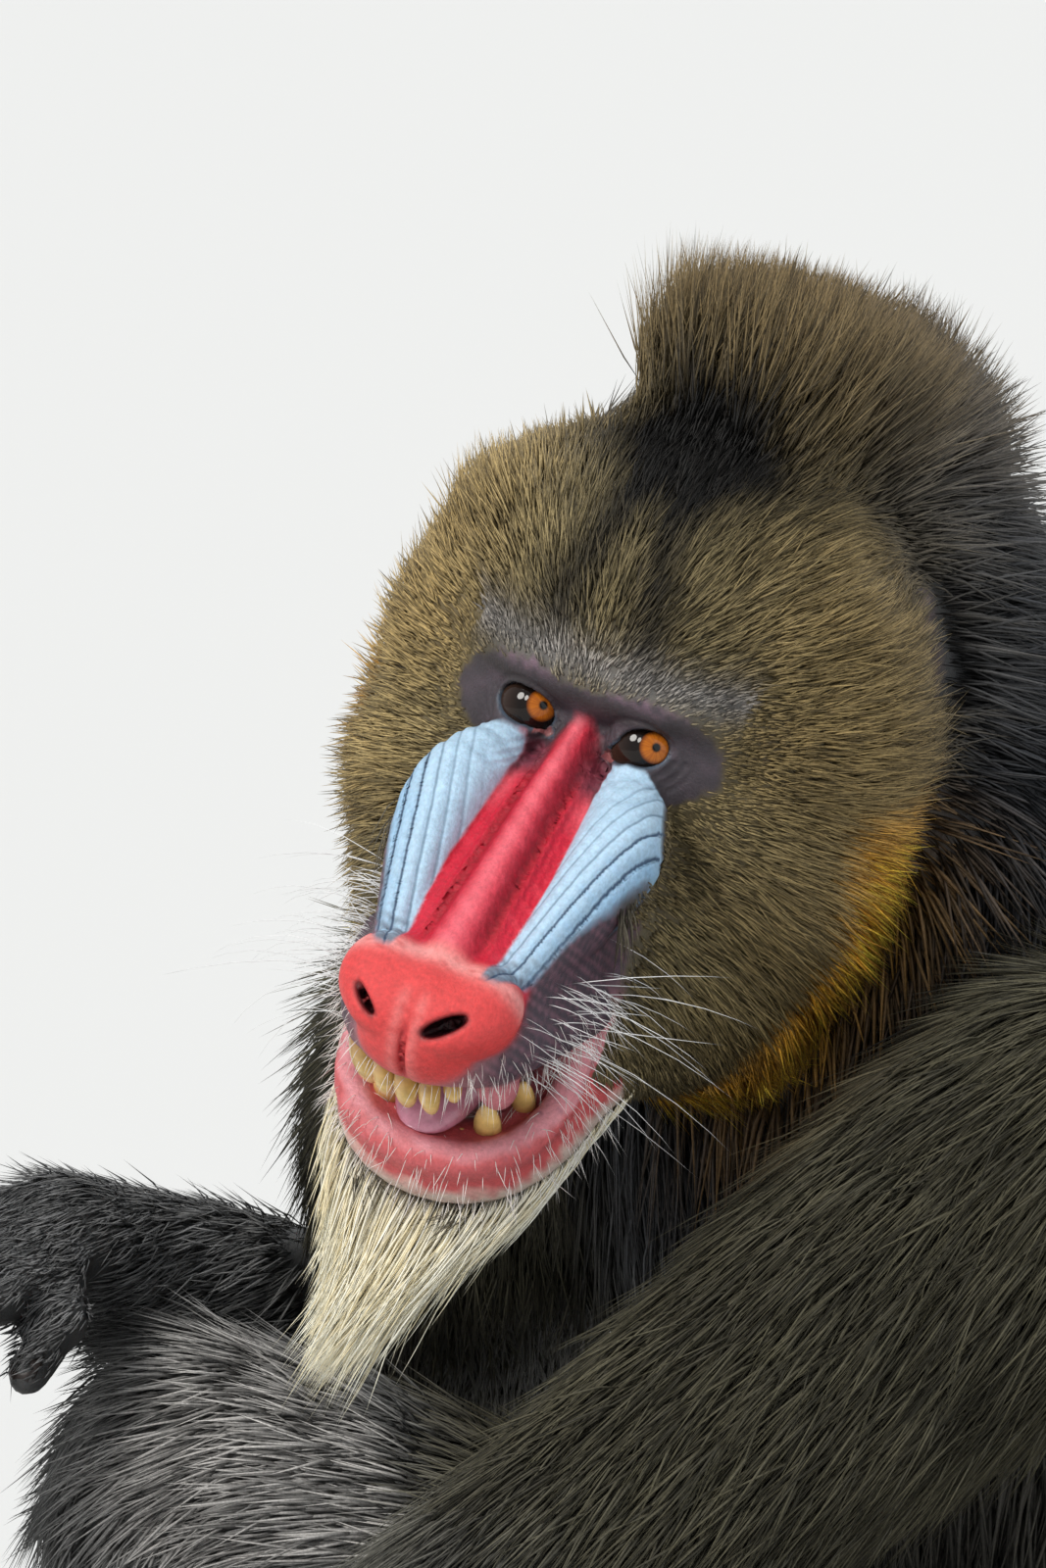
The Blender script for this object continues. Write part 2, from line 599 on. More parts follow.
def relief(points):
    """Height of the face's fine folds over the melted surface, in metres."""
    height = np.zeros(len(points))
    h = head_coordinates(points)
    on_face = np.nonzero((h[:, 1] < 0.05) & (np.abs(h[:, 0]) < 0.06) & (h[:, 2] < 0.03))[0]
    if not len(on_face):
        return height
    m, h = muzzle_coordinates(points[on_face]), h[on_face]
    phase = rib_phase(m)
    away = np.abs(phase - np.round(phase))
    made = -(0.0009 * np.exp(-((away / 0.17) ** 2)) + 0.0004 * (1 - 2 * away) ** 2) * rib_strength(m)
    x, ahead = np.abs(m[:, 0]), m[:, 1]
    valley = 0.0065 + 0.03 * np.clip(ahead, 0, 0.1)
    on_ridge = band(ahead, 0.014, 0.092, 0.012) * band(m[:, 2], -0.02, 0.020, 0.004)
    made -= 0.0020 * np.exp(-(((x - valley) / 0.0022) ** 2)) * on_ridge
    crinkle = np.exp(-(((x - valley - 0.0045) / 0.0008) ** 2)) * band(ahead, 0.03, 0.08, 0.01)
    made -= 0.0007 * crinkle * on_ridge
    streak = np.sin((x - 0.30 * ahead) * (2 * math.pi / 0.0021) + 2.5 * ripple(points[on_face], 0.010, 43))
    made += 0.00012 * streak * (1 - blue_share(m)) * band(ahead, 0.0, 0.095, 0.01) * (x < 0.020)
    for side in SIDES:
        dx, dz = h[:, 0] - side * EYE_SPACING / 2, h[:, 2] - 0.0025
        ring = np.hypot(dx * 0.80, dz)
        front = band(h[:, 1], -0.03, 0.012, 0.004)
        for radius, depth, upper in ((0.0098, 0.0007, True), (0.0106, 0.0006, False),
                                     (0.0134, 0.0006, False), (0.0160, 0.0004, False)):
            half = dz > 0.001 if upper else dz < -0.001
            made -= depth * front * half * np.exp(-(((ring - radius) / 0.0008) ** 2))
    height[on_face] = made
    return height


def inside_box(points, low, high, reach):
    return np.all((points > low - reach) & (points < high + reach), axis=1)


def blob_box(blob):
    lows, highs = zip(*blob.boxes)
    return np.min(lows, axis=0), np.max(highs, axis=0)


def near_lists(points, slack):
    """For every blob, the points that can feel it, whole and piece by piece."""
    lists = []
    for blob in BLOBS:
        reach = blob.blend + slack
        low, high = blob_box(blob)
        whole = np.nonzero(inside_box(points, low, high, reach))[0]
        close = points[whole]
        lists.append((whole, [whole[inside_box(close, lo, hi, reach)] for lo, hi in blob.boxes]))
    return lists


def blob_distance(blob, points, whole, pieces, scratch):
    """Distances from one blob to the points of whole."""
    scratch[whole] = FAR
    for k, mine in enumerate(pieces):
        if len(mine):
            scratch[mine] = np.minimum(scratch[mine], blob.distance_to(k, points[mine]))
    return blob.trim(points[whole], scratch[whole])


def skin_distance(points, lists, folds):
    value = np.full(len(points), FAR)
    scratch = np.empty(len(points))
    for blob, (whole, pieces) in zip(BLOBS, lists):
        if len(whole):
            away = blob_distance(blob, points, whole, pieces, scratch)
            value[whole] = melted(blob, value[whole], away)
    value = np.maximum(value, FLOOR_LEVEL - points[:, 2])
    return value - relief(points) if folds else value


CORNERS = np.array(((1, 1, 1), (1, -1, -1), (-1, 1, -1), (-1, -1, 1)), float)


def projected(points, folds, rounds, step=0.0003):
    """Points moved onto the skin along the field's slope, read at the corners of a tetrahedron."""
    lists = near_lists(points, 0.004)
    for _ in range(rounds):
        values = [skin_distance(points + corner * step, lists, folds) for corner in CORNERS]
        away = np.mean(values, axis=0)
        slope = sum(v[:, None] * corner for v, corner in zip(values, CORNERS)) / (4 * step)
        move = slope * (away / np.maximum((slope**2).sum(axis=1), 0.2))[:, None]
        length = np.linalg.norm(move, axis=1, keepdims=True)
        points = points - move * np.minimum(1, 0.0025 / np.maximum(length, 1e-9))
    return points


# Surface of the field: one vertex in each cell that the skin crosses


def grid_axis(low, high, fine_low, fine_high):
    """Coordinates from low to high, close together between fine_low and fine_high."""
    before = np.arange(fine_low, low, -COARSE_STEP)[::-1][:-1]
    fine = np.arange(fine_low, fine_high, FINE_STEP)
    after = np.arange(fine[-1] + FINE_STEP, high, COARSE_STEP)
    return np.concatenate([before, fine, after])


def grid_field(axes):
    shape = tuple(len(a) for a in axes)
    field = np.full(shape, FAR, np.float32)

    def spans_of(low, high, reach):
        return tuple(slice(np.searchsorted(a, lo - reach), np.searchsorted(a, hi + reach))
                     for a, lo, hi in zip(axes, low, high))

    for blob in BLOBS:
        reach = blob.blend + 0.008
        whole = spans_of(*blob_box(blob), reach)
        block = field[whole]
        away = np.full(block.shape, FAR)
        for k, (low, high) in enumerate(blob.boxes):
            spans = spans_of(low, high, reach)
            mesh = np.meshgrid(*(a[s] for a, s in zip(axes, spans)), indexing="ij")
            points = np.stack([c.ravel() for c in mesh], axis=1)
            found = blob.trim(points, blob.distance_to(k, points)).reshape(mesh[0].shape)
            local = tuple(slice(s.start - w.start, s.stop - w.start) for s, w in zip(spans, whole))
            away[local] = np.minimum(away[local], found)
        field[whole] = melted(blob, block, away)
    return np.maximum(field, (FLOOR_LEVEL - axes[2]).astype(np.float32))


def surface_net(field, axes):
    """Vertices and quads where the field changes sign."""
    cells = np.array(field.shape) - 1
    strides = np.array((cells[1] * cells[2], cells[2], 1))
    inside = field < 0
    corner_cells, corner_points, quads = [], [], []
    for a in range(3):
        b, c = (a + 1) % 3, (a + 2) % 3
        lower = [slice(None)] * 3
        upper = [slice(None)] * 3
        lower[a], upper[a] = slice(0, -1), slice(1, None)
        for other in (b, c):
            lower[other] = upper[other] = slice(1, -1)
        here, there = field[tuple(lower)], field[tuple(upper)]
        index = np.stack(np.nonzero(inside[tuple(lower)] != inside[tuple(upper)]), axis=1)
        d0 = here[tuple(index.T)].astype(float)
        d1 = there[tuple(index.T)].astype(float)
        share = d0 / (d0 - d1)
        index[:, b] += 1
        index[:, c] += 1
        point = np.empty((len(index), 3))
        point[:, a] = axes[a][index[:, a]] + share * (axes[a][index[:, a] + 1] - axes[a][index[:, a]])
        point[:, b] = axes[b][index[:, b]]
        point[:, c] = axes[c][index[:, c]]
        base = index @ strides
        ring = [base - strides[b] - strides[c], base - strides[c], base, base - strides[b]]
        quad = np.stack(ring, axis=1)
        flip = d0 > 0
        quad[flip] = quad[flip][:, ::-1]
        quads.append(quad)
        for cell in ring:
            corner_cells.append(cell)
            corner_points.append(point)
    quads = np.concatenate(quads)
    corner_cells = np.concatenate(corner_cells)
    corner_points = np.concatenate(corner_points)
    used, place = np.unique(corner_cells, return_inverse=True)
    counts = np.bincount(place)
    points = np.stack([np.bincount(place, corner_points[:, k]) / counts for k in range(3)], axis=1)
    return points, np.searchsorted(used, quads)


def relaxed(points, quads, rounds):
    """Points moved to the middle of their neighbours and back onto the skin."""
    ends = np.concatenate([quads[:, [k, (k + 1) % 4]] for k in range(4)])
    counts = np.bincount(ends.ravel(), minlength=len(points))
    for _ in range(rounds):
        total = np.zeros_like(points)
        for k in range(3):
            total[:, k] = np.bincount(ends[:, 0], points[ends[:, 1], k], len(points))
            total[:, k] += np.bincount(ends[:, 1], points[ends[:, 0], k], len(points))
        points = 0.5 * points + 0.5 * total / np.maximum(counts, 1)[:, None]
    return points


def skin_mesh():
    low, high = (np.array(c) for c in CAD_BOX)
    corners = np.array([in_muzzle(x, m, v) for x in (-0.040, 0.040) for m in (0.0, 0.136)
                        for v in (0.0, 0.092)])
    axes = [grid_axis(low[k] - 0.012, high[k] + 0.012, corners[:, k].min(), corners[:, k].max())
            for k in range(3)]
    points, quads = surface_net(grid_field(axes), axes)
    points = projected(relaxed(points, quads, 2), False, 1)
    mesh = bpy.data.meshes.new("skin")
    mesh.from_pydata(points.tolist(), [], quads.tolist())
    refine(mesh, small_forms)
    refine(mesh, bare_face)
    mesh.vertices.foreach_set("co", projected(vertex_array(mesh), True, 2).astype(np.float32).ravel())
    mesh.polygons.foreach_set("use_smooth", np.ones(len(mesh.polygons), bool))
    mesh.update()
    return mesh


def vertex_array(mesh):
    points = np.empty(len(mesh.vertices) * 3, np.float32)
    mesh.vertices.foreach_get("co", points)
    return points.reshape(-1, 3).astype(float)


def bare_face(points):
    """Nose, swellings, lips and lids, which carry the finest folds."""
    m = muzzle_coordinates(points)
    h = head_coordinates(points)
    on_nose = (m[:, 1] > 0.0) & (m[:, 1] < 0.150) & (m[:, 2] < 0.030) & (np.abs(m[:, 0]) < 0.052)
    on_mouth = (m[:, 1] > 0.060) & (m[:, 2] < 0.095) & (np.abs(m[:, 0]) < 0.048)
    on_lids = (np.abs(np.abs(h[:, 0]) - EYE_SPACING / 2) < 0.020) & (np.abs(h[:, 2]) < 0.016)
    return (on_nose | on_mouth | on_lids) & (h[:, 1] < 0.024)


def small_forms(points):
    """The face with its brow, and the hands and feet."""
    h = head_coordinates(points)
    face = (h[:, 1] < 0.030) & (np.abs(h[:, 0]) < 0.060) & (h[:, 2] < 0.032) & (h[:, 2] > -0.17)
    ends = [vec(*ANKLE[s]) + vec(0, -0.07, 0) for s in SIDES] + [vec(*KNUCKLES[LEFT])]
    near_ends = np.min([np.linalg.norm((points - SHIFT - end)[:, :2], axis=1) for end in ends], axis=0)
    low = (points[:, 2] < 0.042) & (near_ends < 0.11)
    right_hand = np.linalg.norm(points - SHIFT - vec(-0.240, -0.300, 0.290), axis=1) < 0.085
    return face | low | right_hand | bare_face(points)


def refine(mesh, wanted):
    """Splits the faces where wanted is true, so that small forms have room."""
    chosen = wanted(vertex_array(mesh))
    bm = bmesh.new()
    bm.from_mesh(mesh)
    edges = [e for e in bm.edges if chosen[e.verts[0].index] and chosen[e.verts[1].index]]
    bmesh.ops.subdivide_edges(bm, edges=edges, cuts=1, use_grid_fill=True)
    bm.to_mesh(mesh)
    bm.free()


MESH = skin_mesh()


# Which part a point of the skin belongs to

PART_NAMES = sorted({blob.part for blob in BLOBS})


def part_distances(points):
    away = {name: np.full(len(points), FAR) for name in PART_NAMES}
    scratch = np.empty(len(points))
    for blob, (whole, pieces) in zip(BLOBS, near_lists(points, 0.022)):
        if len(whole):
            found = blob_distance(blob, points, whole, pieces, scratch)
            found = np.abs(found) if blob.cut else found
            away[blob.part][whole] = np.minimum(away[blob.part][whole], found)
    return away


FUR_PARTS = ("head", "ruff_r", "ruff_l", "crest", "neck", "trunk", "tail", "upper_arm_r",
             "upper_arm_l", "forearm_r", "forearm_l", "thigh_r", "thigh_l", "shin_r", "shin_l",
             "hand_r", "hand_l", "foot_r", "foot_l")


def shares(away, names, soft):
    """Weights of the named parts at each point, adding up to one."""
    stack = np.stack([away[n] for n in names])
    weight = np.exp(-(stack - stack.min(axis=0)) / soft)
    return dict(zip(names, weight / weight.sum(axis=0)))


# Markings: skin and coat take their colours from the same functions


def mix(a, b, share):
    share = np.asarray(share)[..., None]
    return np.asarray(a) * (1 - share) + np.asarray(b) * share


RED = vec(0.60, 0.008, 0.035)
RED_LIGHT = vec(0.78, 0.13, 0.17)
RED_DEEP = vec(0.30, 0.002, 0.012)
PAD_RED = vec(0.68, 0.055, 0.055)
PAD_RIM = vec(0.82, 0.34, 0.32)
SKY = vec(0.44, 0.62, 0.78)
BLUE = vec(0.17, 0.36, 0.58)
GROOVE = vec(0.020, 0.050, 0.110)
MASK = vec(0.048, 0.038, 0.046)
MASK_PINK = vec(0.30, 0.17, 0.24)
LID_WET = vec(0.08, 0.11, 0.15)
LID_DARK = vec(0.010, 0.009, 0.010)
NOSE_ROOT = vec(0.20, 0.035, 0.060)
NOSTRIL_DARK = vec(0.020, 0.004, 0.006)
EYE_CORNER = vec(0.30, 0.10, 0.10)
EAR_SKIN = vec(0.075, 0.052, 0.050)
MUZZLE_DARK = vec(0.060, 0.042, 0.058)
MUZZLE_PINK = vec(0.24, 0.11, 0.15)
LIP = vec(0.56, 0.090, 0.095)
LIP_PINK = vec(0.68, 0.27, 0.30)
CHIN = vec(0.62, 0.48, 0.42)
GUM = vec(0.60, 0.20, 0.23)
MOUTH = vec(0.20, 0.06, 0.09)
MOUTH_PINK = vec(0.40, 0.17, 0.25)
HAND = vec(0.040, 0.030, 0.032)
RUMP_BLUE = vec(0.13, 0.17, 0.46)
RUMP_PINK = vec(0.62, 0.16, 0.26)
PAD_PINK = vec(0.50, 0.20, 0.24)

OLIVE = vec(0.165, 0.130, 0.062)
GOLDEN = vec(0.205, 0.145, 0.058)
CREST_BROWN = vec(0.120, 0.082, 0.034)
NAPE_GREY = vec(0.105, 0.096, 0.086)
BODY_DARK = vec(0.042, 0.039, 0.032)
ARM_OLIVE = vec(0.050, 0.046, 0.028)
LIMB_GREY = vec(0.110, 0.112, 0.115)
INNER_PALE = vec(0.30, 0.29, 0.28)
CHEST_BLUE = vec(0.024, 0.028, 0.036)
BLACK = vec(0.004, 0.004, 0.005)
FRINGE = vec(0.62, 0.30, 0.030)


# Reach of the cheek fur to the side, by height below and above the eyes
CHEEK_OUTLINE = ((-0.150, 0.030), (-0.132, 0.052), (-0.094, 0.076), (-0.055, 0.095), (-0.016, 0.108),
                 (0.013, 0.108), (0.050, 0.090), (0.070, 0.068), (0.089, 0.047))


def cheek_room(h):
    """Distance from each point to the cheek's outline, measured to the side."""
    outline = np.array(CHEEK_OUTLINE)
    return np.interp(h[:, 2], outline[:, 0], outline[:, 1]) - np.abs(h[:, 0])


def fringe_share(h, w):
    """1 in the orange fringe along the lower back edge of the cheeks."""
    edge = band(cheek_room(h), -0.05, 0.030, 0.010) * band(h[:, 1], 0.032, 0.13, 0.014)
    return edge * band(h[:, 2], -0.17, -0.022, 0.018) * np.clip(w["ruff_r"] + w["ruff_l"] + w["head"], 0, 1)


def hair_colour(points, away):
    """Mid-hair colour of the coat at each point."""
    h, p = head_coordinates(points), points - SHIFT
    x, y, z = np.abs(h[:, 0]), h[:, 1], h[:, 2]
    w = shares(away, FUR_PARTS, 0.010)
    plain = {"head": OLIVE, "crest": CREST_BROWN, "neck": NAPE_GREY, "trunk": BODY_DARK, "tail": BODY_DARK,
             "ruff_r": GOLDEN, "ruff_l": GOLDEN}
    colour = np.zeros((len(points), 3))
    for name in FUR_PARTS:
        base = ARM_OLIVE if name.startswith(("upper_arm", "thigh")) else LIMB_GREY
        colour += plain.get(name, base) * w[name][:, None]
    back = w["trunk"] * smooth_step((p[:, 1] + 0.02) / 0.08) * smooth_step((p[:, 2] - 0.28) / 0.2)
    colour = mix(colour, NAPE_GREY * 0.8, back)
    knee = w["thigh_r"] * smooth_step((0.125 - np.linalg.norm(p - vec(*KNEE[RIGHT]), axis=1)) / 0.05)
    colour = mix(colour, LIMB_GREY, knee)
    inner = (w["forearm_r"] + w["shin_r"] + w["thigh_r"]) * smooth_step((p[:, 0] + 0.215) / 0.05)
    colour = mix(colour, INNER_PALE, 0.7 * inner * band(p[:, 2], 0.10, 0.29, 0.03) * (p[:, 1] < -0.15))

    head_part = w["head"] + w["ruff_r"] + w["ruff_l"] + w["crest"]
    path = 0.005 + 0.21 * np.clip(0.084 - z, 0, 1)
    bands = np.exp(-(((x - path) / 0.0085) ** 2)) * band(z, 0.034, 0.090, 0.012) * (y < 0.09)
    hollow = np.exp(-(((x / 0.032) ** 2 + ((y - 0.036) / 0.024) ** 2 + ((z - 0.085) / 0.018) ** 2)))
    colour = mix(colour, BLACK, np.clip(0.85 * bands + 1.6 * hollow, 0, 1) * head_part)
    brow = np.exp(-(((z - 0.0235) / 0.0065) ** 2)) * (y < 0.02) * (x < 0.05)
    colour = mix(colour, vec(0.24, 0.23, 0.23), 0.8 * brow * head_part)
    far_side = smooth_step((-h[:, 0] - 0.015) / 0.05) * head_part * (y < 0.08)
    colour = colour * (1 + 0.45 * far_side)[:, None]
    ruff = w["ruff_r"] + w["ruff_l"]
    cheek_back = smooth_step((y - 0.045) / 0.03) * ruff * smooth_step((z + 0.02) / 0.03)
    colour = mix(colour, vec(0.045, 0.036, 0.022), 0.5 * cheek_back)
    under_chin = smooth_step((0.012 - y) / 0.02) * smooth_step((-0.10 - z) / 0.02) * head_part
    colour = mix(colour, vec(0.10, 0.08, 0.05), 0.6 * under_chin)
    in_front = smooth_step((-0.02 - p[:, 1]) / 0.03) * smooth_step((p[:, 2] - 0.25) / 0.15)
    throat = (w["neck"] + w["trunk"]) * in_front
    colour = mix(colour, CHEST_BLUE, 0.9 * np.clip(throat, 0, 1))
    colour = mix(colour, FRINGE, np.clip(1.2 * fringe_share(h, w), 0, 1))
    return colour * (1 + 0.16 * ripple(points, 0.05, 5) + 0.12 * ripple(points, 0.018, 6))[:, None]


BARE = ("nose", "swelling", "mask", "lid", "fissure", "muzzle", "upper_lip", "lower_lip", "jaw", "gum",
        "mouth", "nostril", "crease", "pad", "ear")


def rump_share(points):
    """1 on the naked coloured rump."""
    p = points - SHIFT
    away = np.sqrt((p[:, 0] / 0.075) ** 2 + ((p[:, 2] - 0.085) / 0.080) ** 2)
    return smooth_step((1.05 - away) / 0.25) * (p[:, 1] > 0.075)


def bare_share(points, away):
    """1 on naked skin, 0 under the coat."""
    m, h = muzzle_coordinates(points), head_coordinates(points)
    x = np.abs(h[:, 0])
    ragged = 0.04 * ripple(points, 0.006, 41)
    socket = np.sqrt(((x - 0.022) / 0.029) ** 2 + ((h[:, 2] - 0.0012) / 0.0192) ** 2)
    share = smooth_step((1.02 - socket + ragged) / 0.12) * (h[:, 1] < 0.030)
    share = np.maximum(share, (x < 0.022) & (h[:, 2] < 0.0165) & (h[:, 1] < 0.0))
    snout = np.sqrt((m[:, 0] / 0.046) ** 2 + (np.clip(0.075 - m[:, 1], 0, 1) / 0.075) ** 2
                    + (np.clip(m[:, 2] - 0.030, 0, 1) / 0.075) ** 2)
    snout = smooth_step((1.03 - snout + ragged) / 0.10) * (m[:, 1] > 0.0) * (m[:, 2] < 0.094)
    lips = np.min([away[n] for n in ("lower_lip", "gum", "mouth", "nose", "upper_lip")], axis=0) < 0.0035
    share = np.maximum(share, np.maximum(snout, lips))
    share = np.maximum(share, blue_share(m) * (m[:, 2] < 0.035))
    chin = np.clip((0.0965 - m[:, 2]) / 0.006, 0, 1) * (away["jaw"] < 0.004) * (m[:, 1] > 0.075)
    share = np.maximum(share, chin)
    share = np.maximum(share, rump_share(points))
    return np.where(np.minimum(away["pad"], away["ear"]) < 0.003, 1.0, share)


def nose_colour(m, mottle, fine):
    x, ahead, under = np.abs(m[:, 0]), m[:, 1], m[:, 2]
    crest_line = np.exp(-((x / (0.0026 + 0.022 * np.clip(ahead, 0, 1))) ** 2))
    red = mix(RED, RED_LIGHT, np.clip(0.95 * crest_line + 0.12 * mottle, 0, 1))
    valley = 0.0065 + 0.03 * np.clip(ahead, 0, 0.1)
    fold = np.exp(-(((x - valley) / 0.0030) ** 2)) * band(ahead, 0.01, 0.085, 0.015)
    hairy = np.sin((x - 0.30 * ahead) * (2 * math.pi / 0.0021) + 5 * fine)
    red = mix(red, RED_DEEP, np.clip(0.85 * fold + 0.22 * hairy * (1 - crest_line), 0, 1))
    flush = np.clip((x - valley - 0.002) / 0.006, 0, 1) * band(ahead, -0.01, 0.028, 0.012)
    red = mix(red, RED_LIGHT, 0.7 * flush)
    on_pad = np.clip((ahead - 0.098 - 0.10 * x) / 0.007, 0, 1)
    red = mix(red, PAD_RED, on_pad)
    rim = np.exp(-(((ahead - 0.1045 - 0.12 * x) / 0.0042) ** 2)) * (under < 0.010)
    red = mix(red, PAD_RIM, np.clip(0.8 * rim, 0, 1))
    septum = np.exp(-(((x - 0.0035) / 0.0022) ** 2)) * np.clip((ahead - 0.120) / 0.006, 0, 1)
    red = mix(red, PAD_RIM, 0.30 * septum)
    red = mix(red, PAD_RED * 0.75, on_pad * np.clip(0.30 * mottle + 0.35 * fine, 0, 0.6))
    low = np.clip((under - 0.030 + 0.002 * fine) / 0.006, 0, 1)
    return mix(red, vec(0.50, 0.19, 0.21), low)


def swelling_colour(m, mottle, fine):
    ahead, under = m[:, 1], m[:, 2]
    phase = rib_phase(m)
    blue = mix(SKY, BLUE, np.clip((phase - 9.5) / 4 + 0.12 * mottle, 0, 1))
    smudge = np.clip((phase - 11.3) / 1.5 + 0.5 * fine, 0, 1) * np.clip((phase - 11) / 1.5, 0, 1)
    lower = np.clip((ahead - 0.088) / 0.016 + 0.4 * fine, 0, 1) * np.clip((ahead - 0.084) / 0.01, 0, 1)
    return mix(blue, MUZZLE_DARK, np.clip(0.9 * smudge + 0.75 * lower + (under > 0.030), 0, 1))


def skin_colour(points, away):
    m, h = muzzle_coordinates(points), head_coordinates(points)
    names = ("nose", "muzzle", "upper_lip", "lower_lip", "jaw", "gum", "mouth")
    w = shares(away, names, 0.0010)
    x, ahead, under = np.abs(m[:, 0]), m[:, 1], m[:, 2]
    mottle = ripple(points, 0.009, 21)
    fine = ripple(points, 0.0035, 22)

    side_skin = mix(MUZZLE_DARK, MUZZLE_PINK, np.clip(0.25 + 0.5 * fine, 0, 1) * 0.6)
    upper = mix(side_skin, vec(0.46, 0.20, 0.22), np.clip(1.6 - x / 0.018, 0, 1))
    upper = mix(upper, GUM, np.clip(1 - away["mouth"] / 0.003, 0, 1))
    lip = mix(LIP, LIP_PINK, np.clip((0.0705 - under) / 0.003 + 0.25 * mottle, 0.12, 1))
    lip = mix(lip, vec(0.30, 0.12, 0.18), np.clip(0.5 * fine - 0.1 + 8 * (0.085 - ahead), 0, 0.7))
    jaw = mix(LIP, CHIN, np.clip((under - 0.082 + 0.0025 * mottle) / 0.006, 0, 1))
    sides = {"nose": nose_colour(m, mottle, fine), "muzzle": side_skin, "upper_lip": upper,
             "lower_lip": lip, "jaw": jaw, "gum": mix(GUM, LIP_PINK, np.clip(0.4 * mottle, 0, 1)),
             "mouth": mix(MOUTH, MOUTH_PINK, np.clip((ahead - 0.05) / 0.05 + 0.3 * mottle, 0, 1))}
    colour = sum(sides[n] * w[n][:, None] for n in names)
    on_band = (x < 0.019) & (under < 0.014) & (ahead < 0.118)
    colour = np.where(on_band[:, None], sides["nose"], colour)
    colour = mix(colour, swelling_colour(m, mottle, fine), blue_share(m) * (under < 0.034))

    flecks = np.clip(0.55 + 0.9 * fine, 0, 1) * np.clip((h[:, 2] - 0.0145) / 0.006, 0, 1)
    dark = mix(MASK, MASK_PINK, np.clip(0.62 * flecks + 0.06 * mottle, 0, 1))
    hood = np.exp(-(((h[:, 2] - 0.0125) / 0.004) ** 2))
    dark = mix(dark, vec(0.026, 0.020, 0.020), 0.7 * hood)
    bridge = np.clip(1.5 - np.abs(h[:, 0] - 0.001) / (0.0032 + 0.35 * np.clip(0.004 - h[:, 2], 0, 1)), 0, 1)
    bridge = bridge * np.clip((0.0085 - h[:, 2]) / 0.006, 0, 1)
    dark = mix(dark, nose_colour(m, mottle, fine), bridge)
    around_eyes = np.clip((np.abs(h[:, 0]) / 0.030 * 0.010 + h[:, 2] + 0.0135) / 0.004, 0, 1)
    around_eyes = around_eyes * (h[:, 1] < 0.04) * (ahead < 0.030) * (1 - blue_share(m))
    root = np.clip((0.0175 - np.abs(h[:, 0])) / 0.004, 0, 1) * np.clip((-0.006 - h[:, 2]) / 0.003, 0, 1)
    dark = mix(dark, NOSE_ROOT * (1 + 0.3 * fine[:, None]), 0.8 * root * (1 - bridge))
    colour = mix(colour, dark, around_eyes)

    inside = np.clip(1 - away["nostril"] / 0.0016, 0, 1)
    colour = mix(colour, NOSTRIL_DARK, inside)
    colour = mix(colour, RED_DEEP, 0.7 * np.clip(1 - away["crease"] / 0.0010, 0, 1))
    rim = np.clip(1 - away["fissure"] / 0.0011, 0, 1) * (away["lid"] < 0.004)
    lid_edge = mix(LID_WET, LID_DARK, np.clip((h[:, 2] - 0.002) / 0.003, 0, 1))
    colour = mix(colour, lid_edge, 0.9 * rim)
    corner = np.hypot(np.abs(h[:, 0]) - 0.0128, h[:, 2] + 0.004) < 0.0026
    colour = np.where((corner & (rim > 0.1))[:, None], EYE_CORNER, colour)

    hands = np.min([away[n] for n in ("hand_r", "hand_l", "foot_r", "foot_l")], axis=0)
    knuckles = mix(HAND, vec(0.085, 0.062, 0.060), np.clip(0.5 + 0.6 * fine, 0, 1))
    colour = np.where((hands < 0.004)[:, None], knuckles, colour)
    rump = mix(RUMP_BLUE, RUMP_PINK, np.clip(np.abs(points[:, 0] - SHIFT[0]) / 0.05 + 0.3 * mottle, 0, 1))
    colour = mix(colour, rump, rump_share(points))
    colour = np.where((away["pad"] < 0.004)[:, None], PAD_PINK, colour)
    colour = np.where((away["ear"] < 0.003)[:, None], EAR_SKIN, colour)
    return np.clip(colour * (1 + 0.05 * mottle)[:, None], 0, 1)


def wetness(away):
    """1 on the wet linings of the mouth, nostrils and lids."""
    lining = np.minimum(away["gum"], np.minimum(away["mouth"], away["nostril"]))
    rim = np.where(away["lid"] < 0.004, away["fissure"], FAR)
    return np.clip(1.2 - np.minimum(lining, rim) / 0.0012, 0, 1)


# Materials


def node(tree, kind, **inputs):
    made = tree.nodes.new(kind)
    for name, value in inputs.items():
        made.inputs[name.replace("_", " ")].default_value = value
    return made


